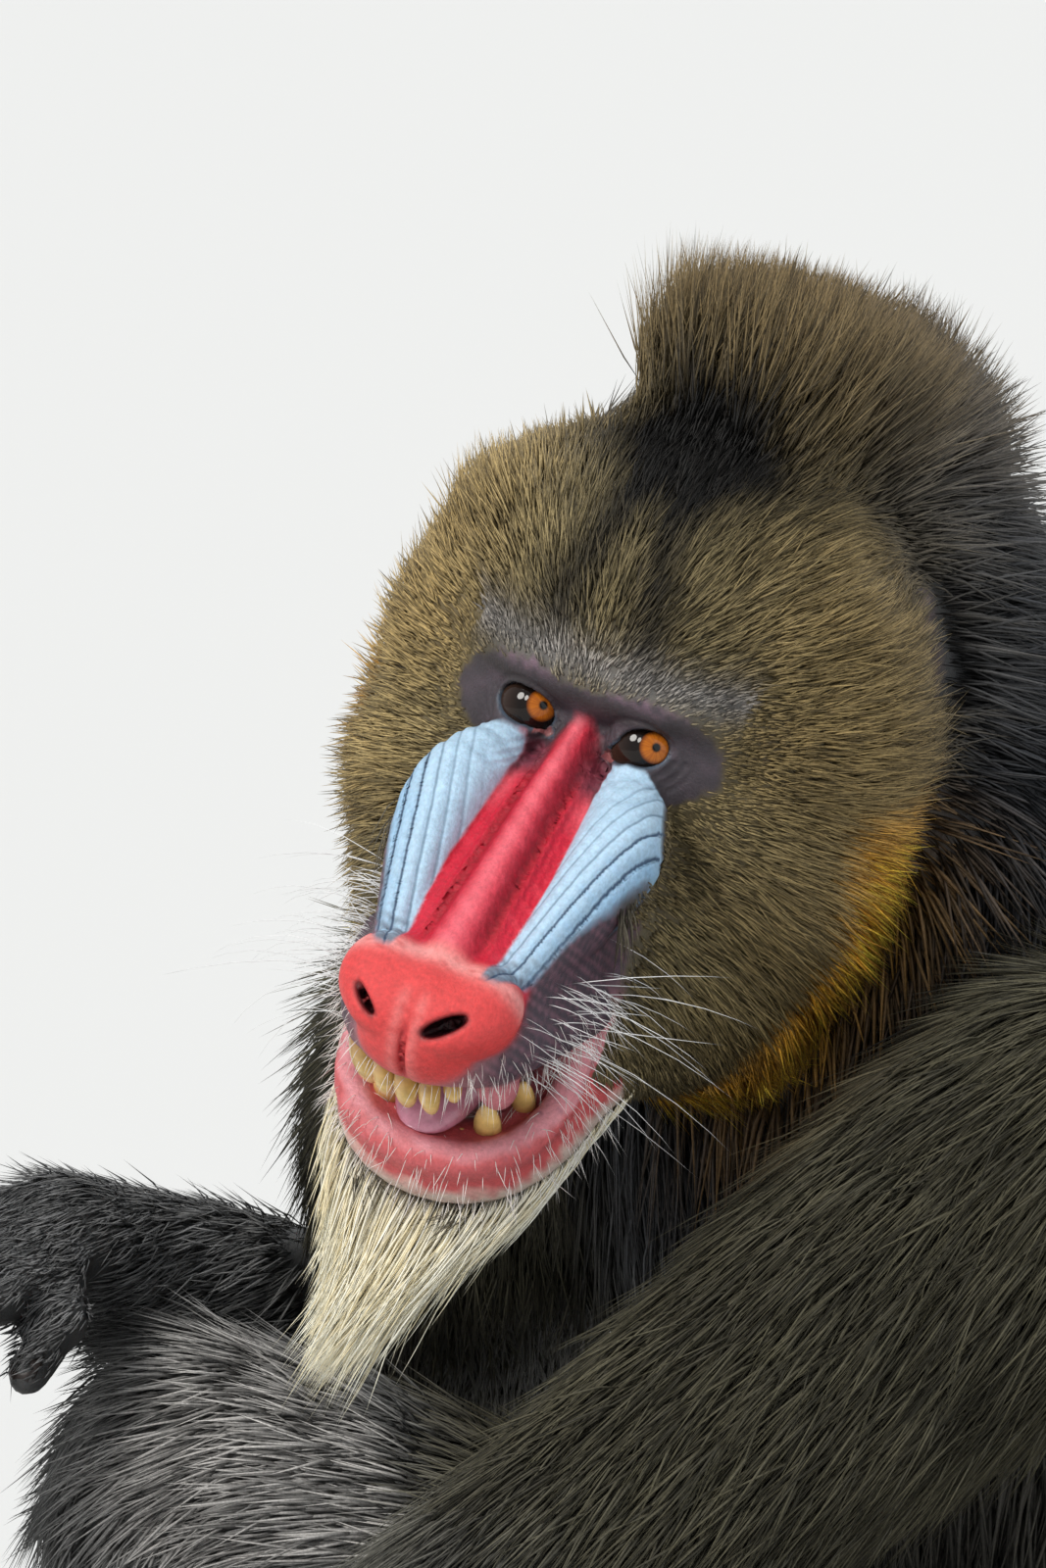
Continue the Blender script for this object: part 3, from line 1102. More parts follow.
def painted(name, roughness, scale, contrast, bump, **sockets):
    """A material that takes its colour from the mesh's own paint, broken up by noise."""
    made = bpy.data.materials.new(name)
    made.use_nodes = True
    tree = made.node_tree
    shader = tree.nodes["Principled BSDF"]
    shader.inputs["Roughness"].default_value = roughness
    for socket, value in sockets.items():
        shader.inputs[socket.replace("_", " ")].default_value = value
    paint = tree.nodes.new("ShaderNodeAttribute")
    paint.attribute_name = "paint"
    place = tree.nodes.new("ShaderNodeTexCoord")
    speckle = node(tree, "ShaderNodeTexNoise", Scale=scale, Detail=3.0, Roughness=0.6)
    tree.links.new(place.outputs["Object"], speckle.inputs["Vector"])
    ramp = tree.nodes.new("ShaderNodeMapRange")
    ramp.inputs["From Min"].default_value = 0.30
    ramp.inputs["From Max"].default_value = 0.70
    ramp.inputs["To Min"].default_value = 1 - contrast
    ramp.inputs["To Max"].default_value = 1 + contrast
    tree.links.new(speckle.outputs["Fac"], ramp.inputs["Value"])
    scaled = tree.nodes.new("ShaderNodeVectorMath")
    scaled.operation = "SCALE"
    tree.links.new(paint.outputs["Color"], scaled.inputs[0])
    tree.links.new(ramp.outputs["Result"], scaled.inputs["Scale"])
    tree.links.new(scaled.outputs["Vector"], shader.inputs["Base Color"])
    if bump:
        grain = node(tree, "ShaderNodeTexNoise", Scale=scale * 1.6, Detail=4.0, Roughness=0.65)
        tree.links.new(place.outputs["Object"], grain.inputs["Vector"])
        raised = node(tree, "ShaderNodeBump", Strength=0.5, Distance=bump)
        tree.links.new(grain.outputs["Fac"], raised.inputs["Height"])
        tree.links.new(raised.outputs["Normal"], shader.inputs["Normal"])
    return made


def math_node(tree, operation, first, second=None):
    made = tree.nodes.new("ShaderNodeMath")
    made.operation = operation
    for socket, value in zip(made.inputs, (first, second)):
        if isinstance(value, (int, float)):
            socket.default_value = value
        elif value is not None:
            tree.links.new(value, socket)
    return made.outputs["Value"]


MARK_RANGE = 16.0


def add_ribs(material):
    """Draws the grooves of the blue skin and the wet parts from the mesh's own marks."""
    tree = material.node_tree
    shader = tree.nodes["Principled BSDF"]
    marks = tree.nodes.new("ShaderNodeAttribute")
    marks.attribute_name = "marks"
    split = tree.nodes.new("ShaderNodeSeparateColor")
    tree.links.new(marks.outputs["Color"], split.inputs["Color"])
    phase = math_node(tree, "MULTIPLY", split.outputs["Red"], MARK_RANGE)
    place = tree.nodes.new("ShaderNodeTexCoord")
    wobble = node(tree, "ShaderNodeTexNoise", Scale=160.0, Detail=2.0)
    tree.links.new(place.outputs["Object"], wobble.inputs["Vector"])
    shaken = math_node(tree, "ADD", phase, math_node(tree, "MULTIPLY", wobble.outputs["Fac"], 0.16))
    shaken = math_node(tree, "SUBTRACT", shaken, 0.08)
    nearest = math_node(tree, "ROUND", shaken)
    away = math_node(tree, "ABSOLUTE", math_node(tree, "SUBTRACT", shaken, nearest))
    line = tree.nodes.new("ShaderNodeMapRange")
    line.interpolation_type = "SMOOTHSTEP"
    line.inputs["From Min"].default_value = 0.15
    line.inputs["From Max"].default_value = 0.02
    tree.links.new(away, line.inputs["Value"])
    groove = math_node(tree, "MULTIPLY", line.outputs["Result"], split.outputs["Green"])
    groove = math_node(tree, "MULTIPLY", groove, 0.92)
    blend = tree.nodes.new("ShaderNodeMix")
    blend.data_type = "RGBA"
    colours = [s for s in blend.inputs if s.type == "RGBA"]
    tree.links.new(groove, blend.inputs["Factor"])
    tree.links.new(shader.inputs["Base Color"].links[0].from_socket, colours[0])
    colours[1].default_value = (*GROOVE, 1)
    tree.links.new([s for s in blend.outputs if s.type == "RGBA"][0], shader.inputs["Base Color"])
    damp = tree.nodes.new("ShaderNodeMapRange")
    damp.inputs["To Min"].default_value = 0.52
    damp.inputs["To Max"].default_value = 0.16
    tree.links.new(split.outputs["Blue"], damp.inputs["Value"])
    tree.links.new(damp.outputs["Result"], shader.inputs["Roughness"])


SKIN = painted("skin", 0.50, 650, 0.14, 0.0009, Specular_IOR_Level=0.40, Subsurface_Weight=0.06,
               Subsurface_Scale=0.004)
add_ribs(SKIN)
FUR = painted("fur", 0.60, 900, 0.30, 0, Specular_IOR_Level=0.30)
PALE_HAIR = painted("pale_hair", 0.45, 400, 0.10, 0, Specular_IOR_Level=0.4)
WET = painted("wet", 0.22, 500, 0.12, 0.0002, Specular_IOR_Level=0.6, Coat_Weight=0.4)
IVORY = painted("ivory", 0.26, 260, 0.16, 0.0001, Specular_IOR_Level=0.55, Coat_Weight=0.3)
EYE = painted("eye", 0.06, 2000, 0.05, 0, Specular_IOR_Level=0.30)
HORN = painted("horn", 0.40, 600, 0.2, 0.0001, Specular_IOR_Level=0.4)


def paint(mesh, colours, name="paint"):
    layer = mesh.color_attributes.new(name, "FLOAT_COLOR", "POINT")
    rgba = np.ones((len(colours), 4), np.float32)
    rgba[:, :3] = np.clip(colours, 0, 1)
    layer.data.foreach_set("color", rgba.ravel())


def place_piece(name, mesh, material, nodes=()):
    made = bpy.data.objects.new(name, mesh)
    bpy.context.scene.collection.objects.link(made)
    mesh.materials.clear()
    mesh.materials.append(material)
    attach(made, "root")
    if nodes:
        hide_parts(*nodes)
    return made


# Unwrap: flat charts by part and by the side that they face, laid out on shelves

ATLAS_GAP = 0.004


def face_arrays(mesh):
    """Corner vertices of triangles that cover the mesh."""
    mesh.calc_loop_triangles()
    count = len(mesh.loop_triangles)
    corners = np.empty(count * 3, np.int32)
    mesh.loop_triangles.foreach_get("vertices", corners)
    loops = np.empty(count * 3, np.int32)
    mesh.loop_triangles.foreach_get("loops", loops)
    owners = np.empty(count, np.int32)
    mesh.loop_triangles.foreach_get("polygon_index", owners)
    return corners.reshape(-1, 3), loops.reshape(-1, 3), owners


def shelf_layout(sizes, scale):
    """Lower-left corners for the boxes on shelves, or None if they don't fit the square."""
    order = sorted(range(len(sizes)), key=lambda i: -sizes[i][1])
    places = [None] * len(sizes)
    x = y = ATLAS_GAP
    shelf = 0.0
    for i in order:
        wide, high = sizes[i][0] * scale + ATLAS_GAP, sizes[i][1] * scale + ATLAS_GAP
        if x + wide > 1:
            x, y, shelf = ATLAS_GAP, y + shelf, 0.0
        if y + high > 1:
            return None
        places[i] = (x, y)
        x += wide
        shelf = max(shelf, high)
    return places


def unwrap(mesh, away):
    """Writes the map OFBake: each part seen square on from six sides of its own."""
    points = vertex_array(mesh)
    stack = np.stack([away[n] for n in PART_NAMES])
    labels = stack.argmin(axis=0)
    groups = {"head": 0, "trunk": 1}
    head_parts = set(BARE[:12]) | {"head", "ruff_r", "ruff_l", "crest", "ear"}
    index = []
    for name in PART_NAMES:
        key = "head" if name in head_parts else name
        index.append(groups.setdefault(key, len(groups)))
    labels = np.array(index)[labels]
    starts = np.empty(len(mesh.polygons), np.int32)
    totals = np.empty(len(mesh.polygons), np.int32)
    normals = np.empty(len(mesh.polygons) * 3, np.float32)
    mesh.polygons.foreach_get("loop_start", starts)
    mesh.polygons.foreach_get("loop_total", totals)
    mesh.polygons.foreach_get("normal", normals)
    loop_vertex = np.empty(len(mesh.loops), np.int32)
    mesh.loops.foreach_get("vertex_index", loop_vertex)
    normals = normals.reshape(-1, 3) @ HEAD
    axis = np.abs(normals).argmax(axis=1)
    sign = normals[np.arange(len(normals)), axis] > 0
    chart = labels[loop_vertex[starts]] * 6 + axis * 2 + sign
    loop_chart = np.repeat(chart, totals)
    loop_axis = np.repeat(axis, totals)
    turned = (points @ HEAD)[loop_vertex]
    flat = np.where((loop_axis == 0)[:, None], turned[:, 1:],
                    np.where((loop_axis == 1)[:, None], turned[:, [0, 2]], turned[:, :2]))
    names = np.unique(loop_chart)
    lows = np.array([flat[loop_chart == c].min(axis=0) for c in names])
    sizes = np.array([flat[loop_chart == c].max(axis=0) for c in names]) - lows
    scale = 1.2
    places = None
    while places is None:
        scale *= 0.96
        places = shelf_layout(sizes.tolist(), scale)
    at = np.searchsorted(names, loop_chart)
    uv = np.array(places)[at] + (flat - lows[at]) * scale
    layer = mesh.uv_layers.new(name="OFBake")
    layer.data.foreach_set("uv", uv.astype(np.float32).ravel())
    return uv


SKIN_NODES = ["head", "eye_mask", "nose", "muzzle", "jaw", "neck", "chest", "belly", "tail"]
for s in SIDES:
    SKIN_NODES += [f"{part}_{SIDE_NAME[s]}" for part in (
        "swelling", "ear", "sitting_pad", "upper_arm", "forearm", "hand", "thigh", "shin", "foot")]


def build_skin(points, away):
    """Paints and unwraps the skin; returns its map and the colour of the coat over it."""
    coat_tint = hair_colour(points, away)
    colours = mix(coat_tint * 0.5, skin_colour(points, away), bare_share(points, away))
    paint(MESH, colours)
    m = muzzle_coordinates(points)
    marks = np.stack([rib_phase(m) / MARK_RANGE, rib_strength(m), wetness(away)], axis=1)
    paint(MESH, marks, "marks")
    uv = unwrap(MESH, away)
    place_piece("skin", MESH, SKIN, SKIN_NODES)
    return uv, coat_tint


SKIN_POINTS = vertex_array(MESH)
AWAY = part_distances(SKIN_POINTS)
SKIN_UV, COAT_TINT = build_skin(SKIN_POINTS, AWAY)


# Coat: thin closed spindles


def spindles(root, normal, way, bend, length, width, keys, uv, rings, flatness=0.5):
    """Meshes one spindle a row: root point, rings of three, tip.

    keys holds the colours at the root, the middle and the tip, uv the root's place.
    """
    count = len(root)
    across = unit(np.cross(way, normal))
    stops = {1: (0.36,), 2: (0.22, 0.62), 4: (0.15, 0.4, 0.65, 0.85)}[rings]
    widths = {1: (1.0,), 2: (1.0, 0.78), 4: (1.0, 0.95, 0.72, 0.42)}[rings]
    turns = ((1.0, -0.5), (0.0, 1.0), (-1.0, -0.5))
    points, colours, uvs = [], [], []
    patch = 0.0015

    def at(t):
        return root + way * (length * t)[:, None] + bend * (length * t * t)[:, None]

    def tint(t):
        if t < 0.4:
            return mix(keys[0], keys[1], np.full(count, t / 0.4))
        return mix(keys[1], keys[2], np.full(count, (t - 0.4) / 0.6))

    points.append(root - normal * 0.0008)
    colours.append(keys[0])
    uvs.append(uv + vec(0, -patch))
    for t, share in zip(stops, widths):
        middle = at(t)
        tangent = unit(way + 2 * t * bend)
        over = np.cross(across, tangent)
        for k, (a, b) in enumerate(turns):
            half = (width * share / 2)[:, None]
            points.append(middle + across * half * a + over * half * flatness * b)
            colours.append(tint(t))
            uvs.append(uv + vec((k - 1) * patch, (2 * t - 1) * patch))
    points.append(at(1.0))
    colours.append(keys[2])
    uvs.append(uv + vec(0, patch))
    per = len(points)
    points = np.stack(points, axis=1).reshape(-1, 3)
    colours = np.stack(colours, axis=1).reshape(-1, 3)
    uvs = np.stack(uvs, axis=1).reshape(-1, 2)
    faces = []
    for k in range(3):
        n = (k + 1) % 3
        faces.append((0, 1 + n, 1 + k))
        for r in range(rings - 1):
            a, b = 1 + 3 * r, 4 + 3 * r
            faces.append((a + k, a + n, b + n))
            faces.append((a + k, b + n, b + k))
        last = 1 + 3 * (rings - 1)
        faces.append((last + k, last + n, per - 1))
    faces = np.array(faces)[None] + (np.arange(count) * per)[:, None, None]
    return points, colours, uvs, faces.reshape(-1, 3)


def tuft_mesh(name, points, colours, uvs, faces):
    mesh = bpy.data.meshes.new(name)
    mesh.vertices.add(len(points))
    mesh.vertices.foreach_set("co", points.astype(np.float32).ravel())
    mesh.loops.add(faces.size)
    mesh.loops.foreach_set("vertex_index", faces.astype(np.int32).ravel())
    mesh.polygons.add(len(faces))
    mesh.polygons.foreach_set("loop_start", np.arange(0, faces.size, 3, dtype=np.int32))
    mesh.polygons.foreach_set("use_smooth", np.ones(len(faces), bool))
    mesh.update(calc_edges=True)
    layer = mesh.uv_layers.new(name="OFBake")
    layer.data.foreach_set("uv", uvs[faces.ravel()].astype(np.float32).ravel())
    paint(mesh, colours)
    return mesh


RNG = np.random.default_rng(38)
TRIANGLES, TRIANGLE_LOOPS, _ = face_arrays(MESH)


class Roots:
    """Random places on the skin, with whatever is known at its vertices."""

    def __init__(self, count, weight):
        """weight holds the tufts per area wanted at every vertex."""
        a, b, c = (SKIN_POINTS[TRIANGLES[:, k]] for k in range(3))
        cross = np.cross(b - a, c - a)
        chance = np.linalg.norm(cross, axis=1) * weight[TRIANGLES].mean(axis=1)
        chosen = RNG.choice(len(chance), count, p=chance / chance.sum())
        u, v = RNG.random((2, count))
        flip = u + v > 1
        u, v = np.where(flip, 1 - u, u), np.where(flip, 1 - v, v)
        self.mixes = np.stack([1 - u - v, u, v], axis=1)
        self.corners = TRIANGLES[chosen]
        self.place = self.of(SKIN_POINTS)
        self.normal = unit(cross[chosen])
        self.uv = np.einsum("nk,nkd->nd", self.mixes, SKIN_UV[TRIANGLE_LOOPS[chosen]])

    def of(self, values):
        """Values known at the vertices, carried over to the roots."""
        if values.ndim == 1:
            return (self.mixes * values[self.corners]).sum(axis=1)
        return np.einsum("nk,nkd->nd", self.mixes, values[self.corners])


def skin_area(weight):
    a, b, c = (SKIN_POINTS[TRIANGLES[:, k]] for k in range(3))
    area = np.linalg.norm(np.cross(b - a, c - a), axis=1) / 2
    return float((area * weight[TRIANGLES].mean(axis=1)).sum())


def lie_head(points):
    """Away from the middle of the face, and back."""
    h = head_coordinates(points)
    x, y, z = h.T
    way = np.stack([x * 1.15, 0.035 + 0.3 * np.clip(y, 0, 0.1), z + 0.020], axis=1)
    return way @ HEAD.T


def lie_ruff(side):
    def lie(points):
        h = head_coordinates(points)
        rise = 1.2 * (h[:, 2] + 0.012) / 0.11
        way = np.stack([np.full(len(h), side * 0.75), np.full(len(h), 0.35), rise], axis=1)
        return way @ HEAD.T

    return lie


def lie_crest(points):
    h = head_coordinates(points)
    way = np.stack([0.9 * h[:, 0], 0.5 * (h[:, 1] - 0.085), np.full(len(h), 0.085)], axis=1)
    return way @ HEAD.T


def lie_neck(points):
    p = points - SHIFT
    fall = -0.10 - 2.0 * np.clip(0.56 - p[:, 2], 0, 1)
    return np.stack([1.2 * p[:, 0], np.full(len(p), 0.85), fall], axis=1)


def lie_trunk(points):
    p = points - SHIFT
    return np.stack([0.9 * p[:, 0], np.where(p[:, 1] > 0, 0.35, -0.175), np.full(len(p), -1.0)], axis=1)


def lie_along(start, end, extra):
    way = unit(vec(*end) - vec(*start)) + vec(*extra)

    def lie(points):
        return np.tile(way, (len(points), 1))

    return lie


# Lie, length, width, lift, droop, tufts for each square metre, and rings for each part's hair
COATS = {
    "head": (lie_head, 0.015, 0.00055, 0.30, 0.10, 1_500_000, 1),
    "ruff_r": (lie_ruff(RIGHT), 0.024, 0.00060, 0.42, 0.12, 1_300_000, 1),
    "ruff_l": (lie_ruff(LEFT), 0.024, 0.00060, 0.42, 0.12, 1_700_000, 1),
    "crest": (lie_crest, 0.040, 0.00065, 0.9, 0.08, 1_500_000, 1),
    "neck": (lie_neck, 0.050, 0.0009, 0.40, 0.15, 420_000, 1),
    "trunk": (lie_trunk, 0.055, 0.0013, 0.30, 0.15, 110_000, 1),
    "tail": (lie_along((0, 0.11, 0.09), (0, 0.184, 0.17), (0, 0, 0)), 0.018, 0.0012, 0.3, 0.1, 200_000, 1),
}
for s in SIDES:
    tag = SIDE_NAME[s]
    near = 1.0 if s == LEFT else 0.7
    COATS["upper_arm_" + tag] = (lie_along(SHOULDER[s], ELBOW[s], (0, 0.1, -0.15)),
                                 0.040, 0.0009, 0.28, 0.15, 520_000 * near, 1)
    COATS["forearm_" + tag] = (lie_along(ELBOW[s], WRIST[s], (0, 0.05, -0.45)),
                               0.028, 0.0009, 0.24, 0.12, 420_000, 1)
    COATS["thigh_" + tag] = (lie_along(HIP[s], KNEE[s], (s * 0.1, 0.1, -0.5)),
                             0.038, 0.0011, 0.26, 0.15, 210_000 / near, 1)
    COATS["shin_" + tag] = (lie_along(KNEE[s], ANKLE[s], (0, 0, 0)),
                            0.024, 0.0010, 0.22, 0.1, 220_000, 1)
    COATS["hand_" + tag] = (lie_along(WRIST[s], KNUCKLES[s], (0, 0, 0)),
                            0.011, 0.0007, 0.25, 0.1, 700_000, 1)
    COATS["foot_" + tag] = (lie_along(ANKLE[s], vec(*ANKLE[s]) + vec(0.0, -0.1, -0.03), (0, 0, 0)),
                            0.010, 0.0008, 0.2, 0.1, 250_000, 1)


TUFTS_PER_PIECE = 199_000 // 6


def by_part(shares_at, column):
    return sum(COATS[n][column] * shares_at[n] for n in FUR_PARTS)


def hair_length(h, away, w):
    """Length of the coat, short by the naked face and long on the ruff, crest and neck."""
    length = by_part(w, 1)
    bare = np.min([away[n] for n in ("nose", "swelling", "mask", "muzzle", "upper_lip", "jaw")], axis=0)
    near_face = 0.0045 + 0.42 * np.clip(bare, 0, 1)
    on_head = w["head"] + w["ruff_r"] + w["ruff_l"]
    short = np.minimum(length, near_face)
    short = np.minimum(short, np.maximum(0.009, 1.5 * cheek_room(h)))
    short = np.maximum(short, 0.026 * fringe_share(h, w))
    length = np.where(on_head > 0.5, short, length)
    outline = 0.158 - 0.34 * np.clip(h[:, 1] - 0.085, 0, 1) - 9.0 * h[:, 0] ** 2
    standing = np.clip(outline - h[:, 2], 0.010, 0.070)
    rise = np.clip((h[:, 2] - 0.088) / 0.012, 0, 1) * w["crest"]
    return length * (1 - rise) + standing * rise


BOX_MARGIN = vec(0.014, 0.014, 0.006)
FLOOR_CLEARANCE = 0.0015


def lengths_in_box(root, way, bend, length):
    """Lengths cut back where a tip would leave the CAD's box or reach the floor."""
    low, high = (np.array(c) for c in CAD_BOX)
    low, high = low - BOX_MARGIN, high + BOX_MARGIN
    low[2] = FLOOR_CLEARANCE
    for _ in range(3):
        reach = (way + bend) * length[:, None]
        tip = root + reach
        over = np.maximum(np.maximum(low - tip, tip - high), 0)
        share = np.clip(1 - over / np.maximum(np.abs(reach), 1e-6), 0.10, 1)
        length = length * share.min(axis=1)
    return length


def hand_back(points):
    """Keeps hair off palms, soles, fingers and toes."""
    p = points - SHIFT
    share = np.ones(len(p))
    for s in SIDES:
        wrist, knuckles = vec(*WRIST[s]), vec(*KNUCKLES[s])
        on = np.linalg.norm(p - (wrist + knuckles) / 2, axis=1) < 0.13
        along = (p - wrist) @ unit(knuckles - wrist) / np.linalg.norm(knuckles - wrist)
        hand = on & (AWAY["hand_" + SIDE_NAME[s]] < 0.004)
        share = np.where(hand, np.clip((1.05 - along) / 0.15, 0, 1), share)
        foot = AWAY["foot_" + SIDE_NAME[s]] < 0.004
        ankle = vec(*ANKLE[s])
        out = np.linalg.norm(p[:, :2] - ankle[:2], axis=1)
        share = np.where(foot, np.clip((0.115 - out) / 0.03, 0, 1), share)
        share = np.where(foot & (p[:, 2] < 0.020), 0, share)
    return share


def vertex_normals():
    normals = np.empty(len(MESH.vertices) * 3, np.float32)
    MESH.vertices.foreach_get("normal", normals)
    return normals.reshape(-1, 3).astype(float)


def coat():
    """Grows the whole coat; everything is worked out at the skin's vertices first."""
    h = head_coordinates(SKIN_POINTS)
    normal = vertex_normals()
    w = shares(AWAY, FUR_PARTS, 0.008)
    share = bare_share(SKIN_POINTS, AWAY)
    limbs_end = np.min([AWAY[n] for n in ("hand_r", "hand_l", "foot_r", "foot_l")], axis=0) < 0.004
    palm = limbs_end & (normal[:, 2] < 0.1)
    density = by_part(w, 5) * np.clip(1 - 1.15 * share, 0, 1) * hand_back(SKIN_POINTS)
    density = density * ~palm * (SKIN_POINTS[:, 2] > 0.004)
    way = unit(sum(unit(COATS[n][0](SKIN_POINTS)) * w[n][:, None] for n in FUR_PARTS))
    tangent = unit(way - normal * (way * normal).sum(axis=1)[:, None])
    standing = np.clip((h[:, 2] - 0.085) / 0.02, 0, 1) * (w["crest"] > 0.3)
    lift = by_part(w, 3)
    way = mix(unit(tangent + normal * lift[:, None]), way, standing)
    bend = unit(tangent * 0.6 - normal) * by_part(w, 4)[:, None] * 1.6 + vec(0, 0, -0.06)
    values = np.column_stack([way, bend, hair_length(h, AWAY, w), by_part(w, 2), COAT_TINT,
                              np.stack([w[n] for n in FUR_PARTS]).argmax(axis=0) + 0.0])
    owner = values[:, -1].astype(int)

    roots = Roots(int(skin_area(density) * COAT_SHARE), density)
    count = len(roots.place)
    known = roots.of(values[:, :-1])
    way, bend, length, width, base = (known[:, :3], known[:, 3:6], known[:, 6], known[:, 7], known[:, 8:11])
    clump = np.stack([ripple(roots.place, 0.014, seed) for seed in (31, 32, 33)], axis=1)
    way = unit(way + 0.12 * clump + 0.13 * RNG.normal(size=way.shape))
    bend = bend + RNG.normal(size=way.shape) * 0.06
    length = lengths_in_box(roots.place, way, bend, length * RNG.uniform(0.70, 1.20, count))
    width = width * RNG.uniform(0.75, 1.3, count) * TUFT_WIDTH
    tick = RNG.random(count)
    bright = np.where(tick < 0.50, 2.5, np.where(tick < 0.75, 1.2, 0.45))[:, None]
    keys = (base * 0.40, base * (0.70 + 0.25 * bright), base * bright)
    name_of = owner[roots.corners[:, 0]]
    for index, name in enumerate(FUR_PARTS):
        mine = np.nonzero(name_of == index)[0]
        for part, start in enumerate(range(0, len(mine), TUFTS_PER_PIECE)):
            k = mine[start : start + TUFTS_PER_PIECE]
            made = spindles(roots.place[k], roots.normal[k], way[k], bend[k], length[k], width[k],
                            [key[k] for key in keys], roots.uv[k], 1)
            nodes = [name] if part == 0 and name in ("crest", "ruff_r", "ruff_l") else ()
            title = f"coat_{name}_{part + 1}"
            place_piece(title, tuft_mesh(title, *made), FUR, nodes)


coat()


# Beard and whiskers

BEARD_TIP = in_head(-0.006, -0.080, -0.214)


def hairs(name, roots, way, bend, length, width, tint, rings, nodes=()):
    """One piece of single hairs, a little darker at the root."""
    keys = (tint * 0.85, tint, np.clip(tint * 1.08, 0, 1))
    made = spindles(roots.place, roots.normal, way, bend, length, np.full(len(length), width),
                    keys, roots.uv, rings, 0.85)
    place_piece(name, tuft_mesh(name, *made), PALE_HAIR, nodes)


def build_beard():
    m = muzzle_coordinates(SKIN_POINTS)
    chin = (AWAY["jaw"] < 0.004) & (m[:, 1] > 0.050)
    weight = chin * np.clip((m[:, 2] - 0.090) / 0.006, 0, 1) * np.clip((m[:, 1] - 0.05) / 0.04, 0.2, 1)
    roots = Roots(int(12000 * COAT_SHARE), weight)
    n = len(roots.place)
    m = muzzle_coordinates(roots.place)
    aim = BEARD_TIP + HEAD[:, 0] * (0.42 * m[:, :1]) - roots.place
    reach = np.linalg.norm(aim, axis=1)
    front = np.clip((m[:, 1] - 0.06) / 0.04, 0.22, 1) * np.clip(1.2 - np.abs(m[:, 0]) / 0.045, 0.35, 1)
    length = reach * front * RNG.uniform(0.45, 1.02, n)
    way = unit(unit(aim) + 0.34 * roots.normal + 0.07 * RNG.normal(size=aim.shape))
    bend = unit(aim) * 0.35 - 0.26 * roots.normal + 0.05 * RNG.normal(size=aim.shape)
    low = np.clip(RNG.random(n) * 0.9 - 0.1, 0, 1)
    tint = mix(vec(0.95, 0.92, 0.80), vec(0.92, 0.79, 0.48), low)
    hairs("beard_hair", roots, way, bend, length, 0.00075, tint, 4, ["beard"])


def build_whiskers():
    """Long white hairs from the upper lip and cheeks, shorter ones on lip and chin."""
    m = muzzle_coordinates(SKIN_POINTS)
    x = np.abs(m[:, 0])
    sides = band(m[:, 2], 0.016, 0.040, 0.002) * band(m[:, 1], 0.062, 0.112, 0.004) * (x > 0.026)
    sides = sides * (np.minimum(AWAY["muzzle"], AWAY["upper_lip"]) < 0.003) * (AWAY["mouth"] > 0.004)
    roots = Roots(150, sides)
    n = len(roots.place)
    side = np.sign(head_coordinates(roots.place)[:, 0])
    way = np.stack([side * 0.9, np.full(n, 0.25), np.full(n, 0.05)], axis=1) @ HEAD.T
    way = unit(way + 0.45 * roots.normal + 0.20 * RNG.normal(size=way.shape))
    bend = np.stack([side * -0.05, np.full(n, 0.35), np.full(n, -0.45)], axis=1) @ HEAD.T
    bend = bend + 0.10 * RNG.normal(size=way.shape)
    length = 0.014 + 0.052 * RNG.random(n) ** 1.6
    hairs("whiskers", roots, way, bend, length, 0.00034, np.tile(vec(0.84, 0.84, 0.84), (n, 1)), 4)

    rim = (AWAY["lower_lip"] < 0.002) | (AWAY["upper_lip"] < 0.002)
    rim = (rim & (AWAY["mouth"] > 0.003)) | ((AWAY["jaw"] < 0.002) & (m[:, 2] < 0.097) & (m[:, 1] > 0.05))
    roots = Roots(800, rim * np.where(m[:, 2] < 0.05, 1.3, 1.0))
    n = len(roots.place)
    h = head_coordinates(roots.place)
    way = np.stack([h[:, 0] * 6, np.full(n, -0.2), np.full(n, -0.6)], axis=1) @ HEAD.T
    way = unit(way + 0.5 * roots.normal + 0.20 * RNG.normal(size=way.shape))
    bend = 0.12 * RNG.normal(size=way.shape) + vec(0, 0, -0.2)
    length = RNG.uniform(0.004, 0.012, n)
    hairs("bristles", roots, way, bend, length, 0.00028, np.tile(vec(0.86, 0.82, 0.78), (n, 1)), 2)


build_beard()
build_whiskers()


# Eyes, teeth, tongue and nails

GAZE = vec(0.31, 0.04, 0.95)


def camera_axes():
    right = vec(0.7071, 0.7071, 0)
    back = unit(vec(0.7032, -0.7032, 0.1045))
    return right, np.cross(back, right), back


def uv_sphere(name, segments, rings):
    bm = bmesh.new()
    bmesh.ops.create_uvsphere(bm, u_segments=segments, v_segments=rings, radius=1.0)
    mesh = bpy.data.meshes.new(name)
    bm.to_mesh(mesh)
    bm.free()
    mesh.polygons.foreach_set("use_smooth", np.ones(len(mesh.polygons), bool))
    return mesh


